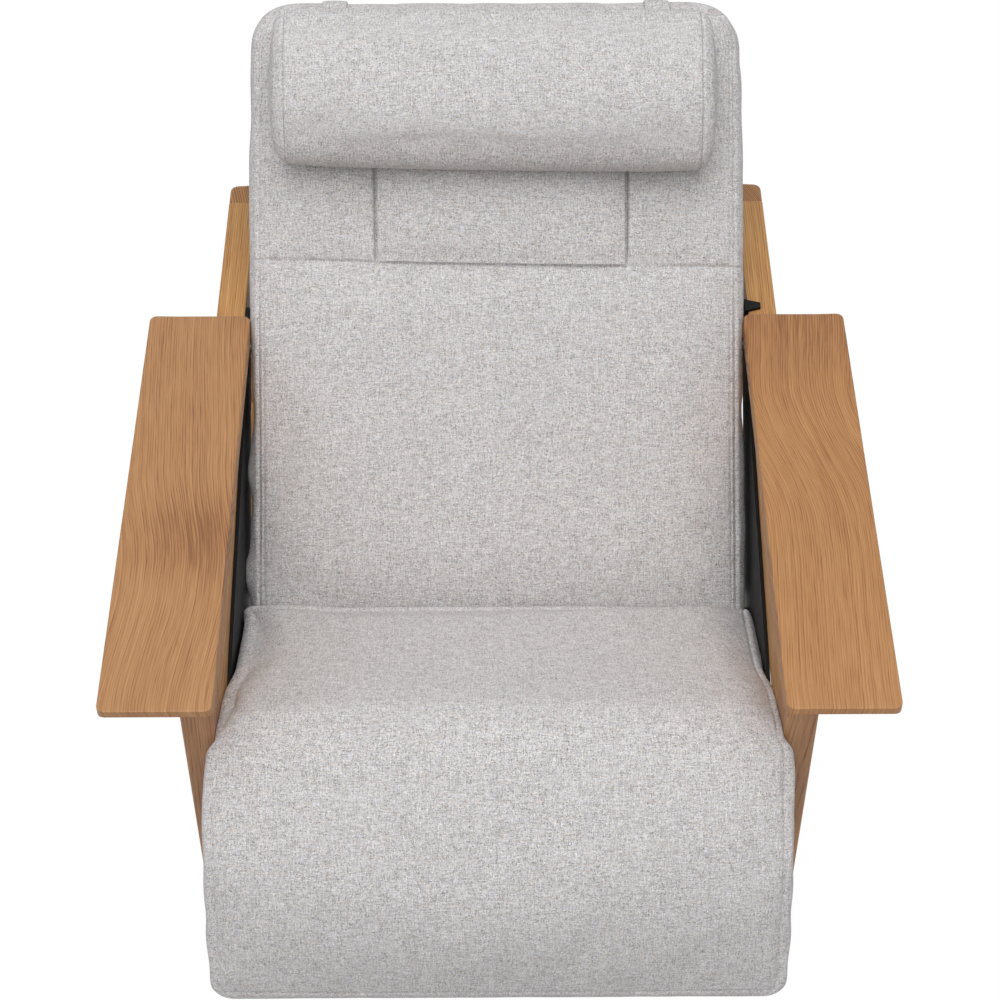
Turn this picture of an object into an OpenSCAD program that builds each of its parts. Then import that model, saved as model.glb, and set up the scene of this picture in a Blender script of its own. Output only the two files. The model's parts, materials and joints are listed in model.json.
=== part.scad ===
// Reclining massage lounge chair with oak side frames, an upholstered seat and
// back, a head pillow, a tilting leg rest and a travelling massage carriage.
// Sizes along the depth are measured back from the front edge of the armrests.

/* [Overall] */
// Width over both armrests
chair_w = 730; // [700:5:800]
// Height of the armrest tops above the floor
arm_h = 530; // [510:5:580]

/* [Armrests] */
// Length of each armrest board
arm_len = 535; // [480:5:570]
// Width of each armrest board
arm_w = 105; // [90:1:120]
// Thickness of each armrest board
arm_t = 22; // [18:1:30]
// Thickness left at the bevelled front and outer edges
arm_edge_t = 9; // [6:1:14]
// How far the underside bevel runs in
arm_bevel = 26; // [15:1:40]
// Radius of the board's corners in plan
arm_corner_r = 6; // [3:1:12]
// How far the board overhangs the inner face of the side frame
arm_overhang = 9; // [5:1:12]

/* [Side frames] */
// Thickness of the legs and the top rail
frame_t = 30; // [26:1:34]
// Front edge of the front leg, back from the armrest's front edge
front_leg_y = 44; // [42:1:55]
// Depth of the front leg at its top
front_leg_d = 56; // [50:1:70]
// How far the front leg's front edge rakes back at the foot
front_leg_rake = 18; // [0:1:22]
// Front edge of the rear leg, back from the armrest's front edge
rear_leg_y = 749; // [735:1:790]
// Depth of the rear leg at its top
rear_leg_d = 31; // [28:1:45]
// Depth of the rear leg at its foot
rear_foot_d = 38; // [30:1:50]
// How far the rear leg's front edge rakes back at the foot
rear_leg_rake = 14; // [0:1:25]
// Radius of the rear leg's outer top corner
rear_leg_r = 9; // [4:1:12]
// Height of the top rail at its front end
rail_front_h = 130; // [120:1:150]
// Height of the top rail at its rear end
rail_rear_h = 62; // [56:1:80]
// Height of the lower side rail
low_rail_h = 40; // [30:1:50]
// Height of the lower side rail's underside above the floor
low_rail_z = 160; // [150:1:170]
// Thickness of the lower rails and cross rails
low_rail_t = 24; // [20:1:26]
// Height of the cross rails
cross_rail_h = 40; // [34:1:42]
// Height of the cross rails' centre line above the floor
cross_rail_z = 164; // [160:1:164]
// Diameter of the dowels
dowel_d = 8; // [6:1:10]
// Length of the dowels
dowel_len = 36; // [30:1:40]
// Thickness of the felt glides
glide_t = 6; // [4:1:10]
// Diameter of the felt glides
glide_d = 24; // [18:1:28]

/* [Chassis] */
// Thickness of the steel side plates
plate_t = 3.5; // [3:0.5:4]
// Diameter of the cross tubes
tube_d = 25; // [22:1:28]
// Depth position of the front cross tube
front_tube_y = 75; // [72:1:80]
// Depth position of the rear cross tube
rear_tube_y = 335; // [325:1:345]
// Height of the rear cross tube
rear_tube_z = 176; // [170:1:180]
// Depth position of the side plates' rear ends, and of the right one's hook
hanger_y = 569; // [565:1:580]
// Diameter of the recline and leg rest pins
pin_d = 12; // [10:1:14]
// Diameter of the bolts that hold the side plates
bolt_d = 6; // [5:1:7]

/* [Seat] */
// Depth position of the seat cushion's rear top edge line
seat_y = 311; // [306:1:313]
// Height of the seat cushion's rear top edge line
seat_z = 322; // [320:1:326]
// Upward slope of the seat towards its front
seat_slope = 22.5; // [22:0.1:23]
// Thickness of the seat cushion
seat_t = 75; // [70:1:78]
// Rise of the seat cushion's crown
seat_crown = 13; // [6:1:16]
// Thickness of the seat board
board_t = 12; // [9:1:14]

/* [Back] */
// Lean of the back at rest, from upright
back_lean = 46; // [42:1:48]
// Depth position of the recline pin
recline_y = 330; // [328:1:332]
// Height of the recline pin
recline_z = 285; // [283:1:287]
// Furthest recline either way of rest
recline_swing = 14; // [8:1:15]
// Distance of the back's top edge above the recline pin
back_top = 645; // [630:1:660]
// Radius of the back's top corners
back_corner_r = 42; // [24:1:48]
// Rise of the back cushion's crown
back_crown = 21; // [12:1:24]
// Depth from the recline pin's plane to the rear panel's outer face
back_rear = 74; // [73:1:80]
// Height of the sewn cross seam above the recline pin
seam_u = 368; // [350:1:390]
// Width of the shoulder flap
flap_w = 259; // [220:1:280]

/* [Pillow] */
// Width of the pillow
pillow_w = 447; // [400:1:470]
// Height of the pillow along the back
pillow_h = 166; // [140:1:180]
// Thickness of the pillow
pillow_t = 76; // [60:1:90]
// Distance between the two strap centres
strap_pitch = 338; // [320:1:380]
// Width of each strap
strap_w = 26; // [20:1:34]

/* [Leg rest] */
// Depth position of the leg rest hinge
leg_y = -5; // [-8:1:-3]
// Height of the leg rest hinge
leg_z = 345; // [343:1:347]
// Forward tilt of the leg rest at rest, from hanging straight down
leg_tilt = 20.7; // [18:0.1:24]
// Length of the leg rest pad below its hinge
leg_len = 155; // [140:1:180]
// Radius of the padded roll around the hinge
leg_roll_r = 50; // [48:1:50]
// Thickness of the leg rest pad
leg_pad_t = 33; // [30:1:34]
// Rise of the leg rest pad's crown
leg_crown = 12; // [6:1:14]
// How far the seat and leg rest cushions spread past the side frames' inner faces
front_spread = 9; // [5:1:14]

/* [Massage unit] */
// Height of the carriage's centre above the recline pin
carriage_u = 300; // [290:1:310]
// Carriage travel either way of rest
carriage_travel = 120; // [80:5:125]
// Diameter of the lead screw
screw_d = 12; // [10:1:12]
// Lead of the screw per turn
screw_lead = 20; // [16:1:24]
// Diameter of the kneading shaft
shaft_d = 12; // [10:1:14]
// Diameter of each massage head
head_d = 44; // [36:1:45]
// Width of each massage head
head_w = 30; // [24:1:34]
// Distance between the left and right massage arms
arm_pitch = 190; // [184:1:200]
// Distance from the shaft to each head's pin
head_reach = 55; // [52:1:58]

/* [Hidden] */
$fn = 64;

oak = "#c19468";
oak_end = "#a27a55";
fabric = "#c8c4c2";
steel_black = "#26272a";
steel_bright = "#a9acb0";
plastic_black = "#1f2022";
plywood = "#c9a877";

// Clearances: parts that seat on each other, pins in bores, parts that swing past
seat_gap = 0.3;
run_gap = 0.05;
swing_gap = 1;
// How far a cutting shape runs past a face, and two shapes of one solid lap
cut = 1;
lap = 0.01;

// Side frames
frame_in = chair_w / 2 - arm_w + arm_overhang;
frame_mid = frame_in + frame_t / 2;
frame_top = arm_h - arm_t;
front_leg_back = front_leg_y + front_leg_d;
low_rail_mid_z = low_rail_z + low_rail_h / 2;
front_cross_y = front_leg_y + front_leg_rake + low_rail_t / 2 + 4;
rear_cross_y = rear_leg_y + rear_leg_d / 2 + 1.5;
rear_leg_kink_z = low_rail_z - 10;
rear_leg_round_h = 60;
front_dowel_inset = 30;
rear_dowel_inset = 17;
cross_dowel_step = 7;
arm_dowel_front_y = front_leg_back + 60;
arm_dowel_rear_y = arm_len - 80;
front_glide_y = (front_leg_y + front_leg_rake + front_leg_back) / 2;
rear_glide_y = rear_leg_y + rear_leg_rake + rear_foot_d / 2;

// Steel side plates
plate_out = frame_in - seat_gap;
plate_in = plate_out - plate_t;
hub_r = pin_d / 2 + 8;
leg_hub_r = pin_d / 2 + 3.5;
lever_len = 70;
rod_rise = lever_len * (1 - cos(recline_swing)) / 2;
rod_z = recline_z - lever_len + rod_rise;
front_tube_z = rod_z;
hook_t = 3.5;
hook_d = 18;
hook_reach = 13.5;
leg_bolt_y = front_leg_y + front_leg_d / 2 + 4;

// Backrest stack, measured rearwards from the recline pin
back_hw = frame_in - 9;
cushion_edge_w = 40;
cushion_rear_w = -8;
cushion_low = -6;
shell_low = 16;
panel_t = 3;
cover_t = 4;
panel_front_w = back_rear - panel_t;
rail_bar_w = 18;
rail_out = back_hw - cover_t - seat_gap;
rail_in = rail_out - rail_bar_w;
rail_front_w = 4;
rail_back_w = 38;
bar_top_u = 590;
bar_h = 22;
cover_top_u = 612;

// Massage unit
guide_out = 208;
guide_w = 20;
guide_wall = 3;
guide_front_w = rail_back_w + seat_gap;
guide_d = 22;
shoe_reach = 64;
guide_spare = 38;
guide_low_u = carriage_u - carriage_travel - shoe_reach - guide_spare;
guide_high_u = carriage_u + carriage_travel + shoe_reach + guide_spare;
shoe_d = guide_d - 2 * guide_wall - 0.4;
screw_w = guide_front_w + guide_d / 2;
shaft_w = screw_w - (screw_d + shaft_d) / 2 - swing_gap;
shaft_u = 18;
head_rock = 8;
head_w_axis = cushion_rear_w + head_d / 2 + head_rock;
arm_plate_t = 8;
arm_eye_r = 10;
arm_hub_r = 13;
motor_d = 40;

// Leg rest
leg_inner_r = leg_roll_r - leg_pad_t;
leg_hw = frame_in + front_spread;
leg_roll_top = 90 - leg_tilt;
leg_plate_t = 6;
leg_end_round = 16;
leg_plate_out = plate_in - 2;

// Whole chair
front_reach = leg_y + min([
  for (rib = leg_ribs(7, 11))
    let (p = leg_face(rib[0], 0, 0)) p[1] * cos(leg_tilt) + p[2] * sin(leg_tilt)
]);
strap_t = 1.5;
strap_rear_w = back_rear + seat_gap + strap_t;
strap_top_u = back_top + 2 * seat_gap + strap_t;
rear_reach = recline_y + strap_top_u * sin(back_lean) + strap_rear_w * cos(back_lean);
origin_y = -(front_reach + rear_reach) / 2;

// ---------------------------------------------------------------- frames

module chair() { translate([0, origin_y, 0]) children(); }

module seat_frame() {
  chair() translate([0, seat_y, seat_z]) rotate([-seat_slope, 0, 0]) children();
}

module back() {
  chair() translate([0, recline_y, recline_z]) rotate([-back_lean, 0, 0]) children();
}

module carriage() { back() translate([0, 0, carriage_u]) children(); }

module leg_rest() {
  chair() translate([0, leg_y, leg_z]) rotate([-leg_tilt, 0, 0]) children();
}

// Mirrors a right-hand shape to the left when side is -1
module sided(side) { if (side < 0) mirror([1, 0, 0]) children(); else children(); }

// Extrudes a profile drawn as depth and height across the width
module across(x0, x1) {
  translate([x0, 0, 0]) rotate([90, 0, 90]) linear_extrude(x1 - x0) children();
}

module block(x0, x1, y0, y1, z0, z1) {
  translate([x0, y0, z0]) cube([x1 - x0, y1 - y0, z1 - z0]);
}

module rod_x(x0, x1, y, z, d) {
  translate([x0, y, z]) rotate([0, 90, 0]) cylinder(h = x1 - x0, d = d);
}

// Straight bar between two points, a little narrower than the eyes at its ends
module bar2d(p, q, eye_r) {
  along = (q - p) / norm(q - p);
  side = [-along[1], along[0]] * eye_r * 0.94;
  polygon([p + side, q + side, q - side, p - side]);
}

// Flat link with a round eye at each end
module link2d(p, q, r) {
  translate(p) circle(r);
  translate(q) circle(r);
  bar2d(p, q, r);
}

// Rectangle with rounded corners
module plate2d(x0, y0, x1, y1, r) {
  translate([x0 + r, y0]) square([x1 - x0 - 2 * r, y1 - y0]);
  translate([x0, y0 + r]) square([x1 - x0, y1 - y0 - 2 * r]);
  for (x = [x0 + r, x1 - r], y = [y0 + r, y1 - r]) translate([x, y]) circle(r);
}

// ---------------------------------------------------------- soft shapes

// Bulge that is 1 in the middle and 0 at t = -1 and t = 1
function bulge(t, power) = 1 - pow(min(abs(t), 1), power);

// Row positions from -1 to 1, closer together near the ends
function rows(n) = [for (i = [0 : n - 1]) sin(180 * i / (n - 1) - 90)];

function smooth(t) = let (c = max(0, min(1, t))) c * c * (3 - 2 * c);

// Indices around the edge of a grid of n rows and m columns
function rim(n, m) = concat(
  [for (j = [0 : m - 1]) j],
  [for (i = [1 : n - 1]) i * m + m - 1],
  [for (j = [m - 2 : -1 : 0]) (n - 1) * m + j],
  [for (i = [n - 2 : -1 : 1]) i * m]
);

function sheet_faces(n, m, first, up) = [
  for (i = [0 : n - 2], j = [0 : m - 2])
    let (a = first + i * m + j, b = a + 1, c = a + m + 1, d = a + m)
      each up ? [[a, c, b], [a, d, c]] : [[a, b, c], [a, c, d]]
];

function band_faces(upper, lower) = [
  for (k = [0 : len(lower) - 1])
    let (next = (k + 1) % len(lower))
      each [[upper[k], upper[next], lower[next]], [upper[k], lower[next], lower[k]]]
];

// Closed cushion between two grids; its walls are drawn in by tuck. Seen from
// outside, the outer grid's columns run to the right as its rows run upwards
module cushion(outer, inner, tuck, centre) {
  n = len(outer);
  m = len(outer[0]);
  size = n * m;
  edge = rim(n, m);
  outer_points = [for (row = outer) each row];
  inner_points = [for (row = inner) each row];
  waist = [
    for (k = edge)
      let (middle = (outer_points[k] + inner_points[k]) / 2,
           inward = [centre[0] - middle[0], centre[1] - middle[1], centre[2] - middle[2]])
        middle + inward / norm(inward) * tuck * norm(outer_points[k] - inner_points[k]) / 75
  ];
  waist_ids = [for (k = [0 : len(edge) - 1]) 2 * size + k];
  polyhedron(
    points = concat(outer_points, inner_points, waist),
    faces = concat(
      sheet_faces(n, m, 0, true),
      sheet_faces(n, m, size, false),
      band_faces(edge, waist_ids),
      band_faces(waist_ids, [for (k = edge) k + size])
    )
  );
}

// ----------------------------------------------------------- side frames

// Every dowel of the right-hand side, grown by gap for its holes
module side_dowels(gap) {
  along_y = [
    [frame_mid, front_leg_back, frame_top - front_dowel_inset],
    [frame_mid, front_leg_back, frame_top - rail_front_h + front_dowel_inset],
    [frame_mid, rear_leg_y, frame_top - rear_dowel_inset],
    [frame_mid, rear_leg_y, frame_top - rail_rear_h + rear_dowel_inset],
    [frame_mid, front_leg_back, low_rail_mid_z],
    [frame_mid, rear_leg_y, low_rail_mid_z]
  ];
  along_z = [for (y = [arm_dowel_front_y, arm_dowel_rear_y]) [frame_mid, y, frame_top]];
  along_x = [
    for (y = [front_cross_y, rear_cross_y], side = [-1, 1])
      [frame_in, y, cross_rail_z + side * cross_dowel_step]
  ];
  r = dowel_d / 2 + gap;
  reach = dowel_len / 2 + gap;
  for (p = along_y) translate(p) rotate([90, 0, 0]) cylinder(h = 2 * reach, r = r, center = true);
  for (p = along_z) translate(p) cylinder(h = arm_t + 2 * gap, r = r, center = true);
  for (p = along_x) translate(p) rotate([0, 90, 0]) cylinder(h = 2 * reach, r = r, center = true);
}

// Bolt places on the side plate, as depth and height
bolt_places = [
  [leg_bolt_y, front_tube_z + 50],
  [leg_bolt_y, front_tube_z + 80],
  [hanger_y, frame_top - 18],
  [hanger_y - 20, frame_top - 38]
];
bolt_len = 22;
bolt_head_d = 12;
bolt_head_t = 2.2;

module bolt_shanks(gap) {
  for (p = bolt_places)
    rod_x(plate_in - gap, plate_out + bolt_len + gap, p[0], p[1], bolt_d + 2 * gap);
}

module armrest() {
  inner = frame_in - arm_overhang;
  outer = inner + arm_w;
  bevel_drop = arm_t - arm_edge_t;
  difference() {
    translate([0, 0, frame_top]) linear_extrude(arm_t)
      plate2d(inner, 0, outer, arm_len, arm_corner_r);
    across(inner - cut, outer + cut)
      polygon([[-cut, frame_top - cut], [arm_bevel, frame_top - cut], [arm_bevel, frame_top],
               [0, frame_top + bevel_drop], [-cut, frame_top + bevel_drop]]);
    translate([0, arm_len + cut, 0]) rotate([90, 0, 0]) linear_extrude(arm_len + 2 * cut)
      polygon([[outer + cut, frame_top - cut], [outer - arm_bevel, frame_top - cut],
               [outer - arm_bevel, frame_top], [outer, frame_top + bevel_drop],
               [outer + cut, frame_top + bevel_drop]]);
    side_dowels(run_gap);
  }
}

module armrest_left() { color(oak) chair() sided(-1) armrest(); }
module armrest_right() { color(oak) chair() sided(1) armrest(); }

module front_leg() {
  difference() {
    across(frame_in, frame_in + frame_t)
      polygon([[front_leg_y, frame_top], [front_leg_back, frame_top],
               [front_leg_back, glide_t], [front_leg_y + front_leg_rake, glide_t]]);
    side_dowels(run_gap);
    bolt_shanks(run_gap);
  }
}

module front_leg_left() { color(oak) chair() sided(-1) front_leg(); }
module front_leg_right() { color(oak) chair() sided(1) front_leg(); }

module rear_leg() {
  corner_x = frame_in + frame_t - rear_leg_r;
  corner_y = rear_leg_y + rear_leg_d - rear_leg_r;
  difference() {
    across(frame_in, frame_in + frame_t)
      polygon([[rear_leg_y, frame_top], [rear_leg_y + rear_leg_d, frame_top],
               [rear_leg_y + rear_leg_rake + rear_foot_d, glide_t],
               [rear_leg_y + rear_leg_rake, glide_t], [rear_leg_y, rear_leg_kink_z]]);
    // Rounded outer rear edge near the top
    translate([0, 0, frame_top - rear_leg_round_h]) difference() {
      block(corner_x, corner_x + frame_t, corner_y, corner_y + frame_t,
            0, rear_leg_round_h + cut);
      translate([corner_x, corner_y, -cut])
        cylinder(h = rear_leg_round_h + 3 * cut, r = rear_leg_r);
    }
    side_dowels(run_gap);
  }
}

module rear_leg_left() { color(oak_end) chair() sided(-1) rear_leg(); }
module rear_leg_right() { color(oak_end) chair() sided(1) rear_leg(); }

module top_rail() {
  difference() {
    across(frame_in, frame_in + frame_t)
      polygon([[front_leg_back, frame_top], [rear_leg_y, frame_top],
               [rear_leg_y, frame_top - rail_rear_h],
               [front_leg_back, frame_top - rail_front_h]]);
    side_dowels(run_gap);
    bolt_shanks(run_gap);
  }
}

module top_rail_left() { color(oak) chair() sided(-1) top_rail(); }
module top_rail_right() { color(oak) chair() sided(1) top_rail(); }

module lower_rail() {
  difference() {
    block(frame_mid - low_rail_t / 2, frame_mid + low_rail_t / 2,
          front_leg_back, rear_leg_y, low_rail_z, low_rail_z + low_rail_h);
    side_dowels(run_gap);
  }
}

module lower_rail_left() { color(oak) chair() sided(-1) lower_rail(); }
module lower_rail_right() { color(oak) chair() sided(1) lower_rail(); }

module cross_rail(y) {
  difference() {
    block(-frame_in, frame_in, y - low_rail_t / 2, y + low_rail_t / 2,
          cross_rail_z - cross_rail_h / 2, cross_rail_z + cross_rail_h / 2);
    for (side = [-1, 1]) sided(side) side_dowels(run_gap);
  }
}

module front_cross_rail() { color(oak) chair() cross_rail(front_cross_y); }
module rear_cross_rail() { color(oak) chair() cross_rail(rear_cross_y); }

module wood_dowels() {
  color(plywood) chair() for (side = [-1, 1]) sided(side) side_dowels(0);
}

module foot_glides() {
  color(plastic_black) chair() for (side = [-1, 1], y = [front_glide_y, rear_glide_y])
    translate([side * frame_mid, y, 0]) cylinder(h = glide_t, d = glide_d);
}

// --------------------------------------------------------------- chassis

module side_plate(hooked) {
  leg_pin = [leg_y, leg_z];
  recline_pin = [recline_y, recline_z];
  front_tube = [front_tube_y, front_tube_z];
  rear_tube = [rear_tube_y, rear_tube_z];
  hook = [hanger_y, frame_top - 16];
  tube_r = tube_d / 2 + 4;
  shelf_z = -seat_t - board_t - 2 * seat_gap;
  shelf_w = 18;
  shelf_front = 225;
  shelf_rear = 75;
  difference() {
    union() {
      across(plate_in, plate_out) {
        translate(leg_pin) circle(leg_hub_r);
        for (place = [recline_pin, hook]) translate(place) circle(hub_r);
        for (tube = [front_tube, rear_tube]) translate(tube) circle(tube_r);
        bar2d(leg_pin, recline_pin, leg_hub_r);
        bar2d(leg_pin, front_tube, leg_hub_r);
        bar2d(front_tube, rear_tube, tube_r);
        bar2d(rear_tube, recline_pin, hub_r);
        bar2d(recline_pin, hook, hub_r);
        polygon([leg_pin, front_tube, rear_tube, recline_pin]);
        // Web that fills the side below the top rail
        polygon([leg_pin, recline_pin, hook]);
      }
      // Shelf that carries the seat board
      translate([0, seat_y, seat_z]) rotate([-seat_slope, 0, 0])
        block(plate_in - shelf_w, plate_out, -shelf_front, -shelf_rear,
              shelf_z - plate_t, shelf_z);
      // Hook over the top rail
      if (hooked) {
        translate([0, hanger_y, frame_top + seat_gap]) linear_extrude(hook_t)
          polygon([[plate_in, -hook_d / 2], [plate_out + hook_reach, -hook_d / 5],
                   [plate_out + hook_reach, hook_d / 5], [plate_in, hook_d / 2]]);
        block(plate_in, plate_out, hanger_y - hook_d / 2, hanger_y + hook_d / 2,
              frame_top - 10, frame_top + seat_gap + hook_t);
      }
    }
    for (pin = [leg_pin, recline_pin])
      rod_x(plate_in - cut, plate_out + cut, pin[0], pin[1], pin_d + 2 * run_gap);
    for (tube = [front_tube, rear_tube])
      rod_x(plate_in - cut, plate_out + cut, tube[0], tube[1], tube_d + 2 * run_gap);
    bolt_shanks(run_gap);
  }
}

module side_plate_left() { color(steel_black) chair() sided(-1) side_plate(false); }
module side_plate_right() { color(steel_black) chair() sided(1) side_plate(true); }

tube_wall = 2.5;

module cross_tube(y, z) {
  difference() {
    rod_x(-plate_out, plate_out, y, z, tube_d);
    rod_x(-plate_out - cut, plate_out + cut, y, z, tube_d - 2 * tube_wall);
  }
}

module cross_tubes() {
  color(steel_black) chair() {
    cross_tube(front_tube_y, front_tube_z);
    cross_tube(rear_tube_y, rear_tube_z);
  }
}

module plate_bolts() {
  color(steel_bright) chair() for (side = [-1, 1]) sided(side) for (p = bolt_places) {
    rod_x(plate_in - bolt_head_t, plate_in, p[0], p[1], bolt_head_d);
    rod_x(plate_in - lap, plate_out + bolt_len, p[0], p[1], bolt_d);
  }
}

pin_stand = 2;
motor_socket = 12;

// The right-hand leg rest pin runs on into the gear motor's hub
module pivot_pins() {
  leg_in = leg_plate_out - leg_plate_t - pin_stand;
  color(steel_bright) chair() for (side = [-1, 1]) sided(side) {
    rod_x(rail_in - pin_stand, plate_out, recline_y, recline_z, pin_d);
    rod_x(side > 0 ? leg_in - motor_socket : leg_in, plate_out, leg_y, leg_z, pin_d);
  }
}

board_front_y = -245;
board_rear_y = -16;

module seat_board() {
  color(plywood) seat_frame()
    block(-plate_in + seat_gap, plate_in - seat_gap, board_front_y, board_rear_y,
          -seat_t - board_t - seat_gap, -seat_t - seat_gap);
}

// Point in the seat's own slope, as [depth, height] of the chair
function seat_point(along, up) = [
  seat_y - along * cos(seat_slope) + up * sin(seat_slope),
  seat_z + along * sin(seat_slope) + up * cos(seat_slope)
];

// Point around the leg rest hinge, with the angle raised from straight forward
function hinge_point(r, angle) = [leg_y - r * cos(angle), leg_z + r * sin(angle)];

seat_rear = 14;
notch_r = leg_roll_r + swing_gap;
// Height of the leg rest hinge in the seat's own slope
hinge_up = (leg_y - seat_y) * sin(seat_slope) + (leg_z - seat_z) * cos(seat_slope);
notch_start = 180 + seat_slope - asin((-seat_t - hinge_up) / notch_r);
nose_start = 128;
nose_end = 92;
nose_low_r = notch_r + 3;
nose_high_r = 104;
seat_hw = plate_in - seat_gap;

function seat_half_width(y) =
  seat_hw + (leg_hw - 1 - seat_hw) * smooth((front_leg_y - 3 - y) / 24);

function seat_ribs(n, k) = concat(
  [for (i = [0 : n - 1])
    let (t = i / n,
         low_front = hinge_point(notch_r, notch_start),
         high_front = hinge_point(nose_high_r, nose_start),
         low_rear = seat_point(seat_rear, -seat_t),
         high_rear = seat_point(seat_rear, 0))
      [high_rear + (high_front - high_rear) * t, low_rear + (low_front - low_rear) * t]],
  [for (i = [0 : k])
    let (t = i / k,
         high = nose_start + (nose_end - nose_start) * t,
         low = notch_start + (nose_end - 3 - notch_start) * t,
         r = nose_low_r + (nose_high_r - nose_low_r) * sin(90 * (1 - t)))
      [hinge_point(r, high), hinge_point(notch_r, low)]]
);

module seat_cushion() {
  ribs = seat_ribs(9, 9);
  n = len(ribs);
  columns = rows(15);
  edge_drop = 9;
  top = [
    for (i = [0 : n - 1])
      let (t = i / (n - 1),
           lift = (seat_crown + edge_drop) * bulge(2 * t - 1, 6),
           y = ribs[i][0][0], z = ribs[i][0][1] - edge_drop * bulge(2 * t - 1, 12))
        [for (c = columns)
          let (up = lift * bulge(c, 4),
               pinch = 1 - 0.012 * bulge(2 * t - 1, 2))
            [-c * seat_half_width(y) * pinch, y + up * sin(seat_slope), z + up * cos(seat_slope)]]
  ];
  bottom = [
    for (i = [0 : n - 1])
      [for (c = columns)
        [-c * (seat_half_width(ribs[i][0][0]) - 3), ribs[i][1][0], ribs[i][1][1]]]
  ];
  color(fabric) chair() cushion(top, bottom, 3, concat([0], seat_point(150, -seat_t / 2)));
}

box_z = rear_tube_z + tube_d / 2 + seat_gap;
box_h = 42;
box_w = 140;
box_side = 65;
box_x = plate_in - box_side - box_w;
box_y = 232;
box_d = 120;
vent_pitch = 12;
vent_w = 5;
vent_depth = 2;

module control_box() {
  color(plastic_black) chair() difference() {
    block(box_x, box_x + box_w, box_y, box_y + box_d, box_z, box_z + box_h);
    for (y = [box_y + 18 : vent_pitch : box_y + box_d - 18])
      block(box_x + 20, box_x + box_w - 20, y, y + vent_w,
            box_z + box_h - vent_depth, box_z + box_h + cut);
  }
}

inlet_x = box_x + 47;
inlet_z = box_z + 20;
inlet_wall = 5;
socket_hw = 12;
socket_hh = 9;
socket_y = box_y + box_d + 6;
socket_depth = 14;
contact_pitch = 7;

module power_inlet() {
  rim_y = socket_y + socket_depth;
  color(plastic_black) chair() difference() {
    block(inlet_x - socket_hw - inlet_wall, inlet_x + socket_hw + inlet_wall,
          box_y + box_d + seat_gap, rim_y,
          inlet_z - socket_hh - inlet_wall, inlet_z + socket_hh + inlet_wall);
    block(inlet_x - socket_hw, inlet_x + socket_hw, socket_y, rim_y + cut,
          inlet_z - socket_hh, inlet_z + socket_hh);
    for (x = [-contact_pitch, 0, contact_pitch])
      translate([inlet_x + x, socket_y + cut, inlet_z]) rotate([90, 0, 0])
        cylinder(h = 5, d = 3);
  }
}

leg_motor_offset = [58, -52];
leg_motor_len = 78;
leg_gear_w = 22;
leg_gear_r = 13;

module leg_rest_motor() {
  hub_x = leg_plate_out - leg_plate_t - 4;
  hub = [leg_y, leg_z];
  motor = hub + leg_motor_offset;
  color(plastic_black) chair() difference() {
    union() {
      across(hub_x - leg_gear_w, hub_x) link2d(hub, motor, leg_gear_r);
      rod_x(hub_x - leg_gear_w, hub_x, motor[0], motor[1], motor_d + 6);
      rod_x(hub_x - leg_gear_w - leg_motor_len, hub_x - leg_gear_w, motor[0], motor[1], motor_d);
    }
    rod_x(hub_x - motor_socket, hub_x + cut, leg_y, leg_z, pin_d + 2 * run_gap);
  }
}

rod_d = 20;
rod_wall = 4.5;
lever_x = 9;
lever_t = 5;
eye_gap = 1.8;
eye_wall = 6.2;
lever_pin_d = 10;
actuator_case = 48;
case_len = 50;
case_y = front_tube_y + tube_d / 2 + seat_gap;
actuator_motor_len = 70;
rod_out = 42;
rod_in_tube = 108;
tube_end_y = recline_y - rod_out;

module recline_actuator() {
  half = actuator_case / 2;
  color(steel_black) chair() difference() {
    union() {
      block(-half, half, case_y, case_y + case_len, rod_z - half, rod_z + half);
      translate([0, case_y + case_len - cut, rod_z]) rotate([-90, 0, 0])
        cylinder(h = tube_end_y - case_y - case_len + cut, d = rod_d + 2 * rod_wall);
      // Motor that hangs under the gear case
      translate([0, case_y + case_len / 2, rod_z - half - actuator_motor_len])
        cylinder(h = actuator_motor_len + cut, d = motor_d);
    }
    translate([0, case_y + case_len + 6, rod_z]) rotate([-90, 0, 0])
      cylinder(h = tube_end_y - case_y, d = rod_d + 2 * run_gap);
  }
}

module recline_rod() {
  eye_d = lever_pin_d + 2 * eye_gap;
  start = tube_end_y - rod_in_tube;
  color(steel_bright) chair() difference() {
    union() {
      translate([0, start, rod_z]) rotate([-90, 0, 0])
        cylinder(h = recline_y - eye_d / 2 - 5 - start, d = rod_d);
      rod_x(-lever_x + seat_gap, lever_x - seat_gap, recline_y, rod_z, eye_d + 2 * eye_wall);
    }
    rod_x(-lever_x, lever_x, recline_y, rod_z, eye_d);
  }
}

// -------------------------------------------------------------- backrest

// Lever's pin in the back's own frame, straight below the recline pin at rest
lever_pin = [lever_len * sin(back_lean), -lever_len * cos(back_lean)];

bar_low_u = shell_low + 4;
lever_r = 11;

// Two plates welded to the lower cross bar, with the pin welded between them
module recline_lever() {
  root = [rail_front_w + 16, bar_low_u + 12];
  side_x = lever_x + lever_t;
  color(steel_black) back() {
    difference() {
      for (side = [-1, 1]) sided(side)
        across(lever_x, side_x) link2d(lever_pin, root, lever_r);
      block(-side_x - cut, side_x + cut, rail_front_w - lever_r, rail_back_w + lever_r,
            bar_low_u - seat_gap, bar_low_u + bar_h + lever_r);
    }
    rod_x(-side_x - cut, side_x + cut, lever_pin[0], lever_pin[1], lever_pin_d);
  }
}

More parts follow.
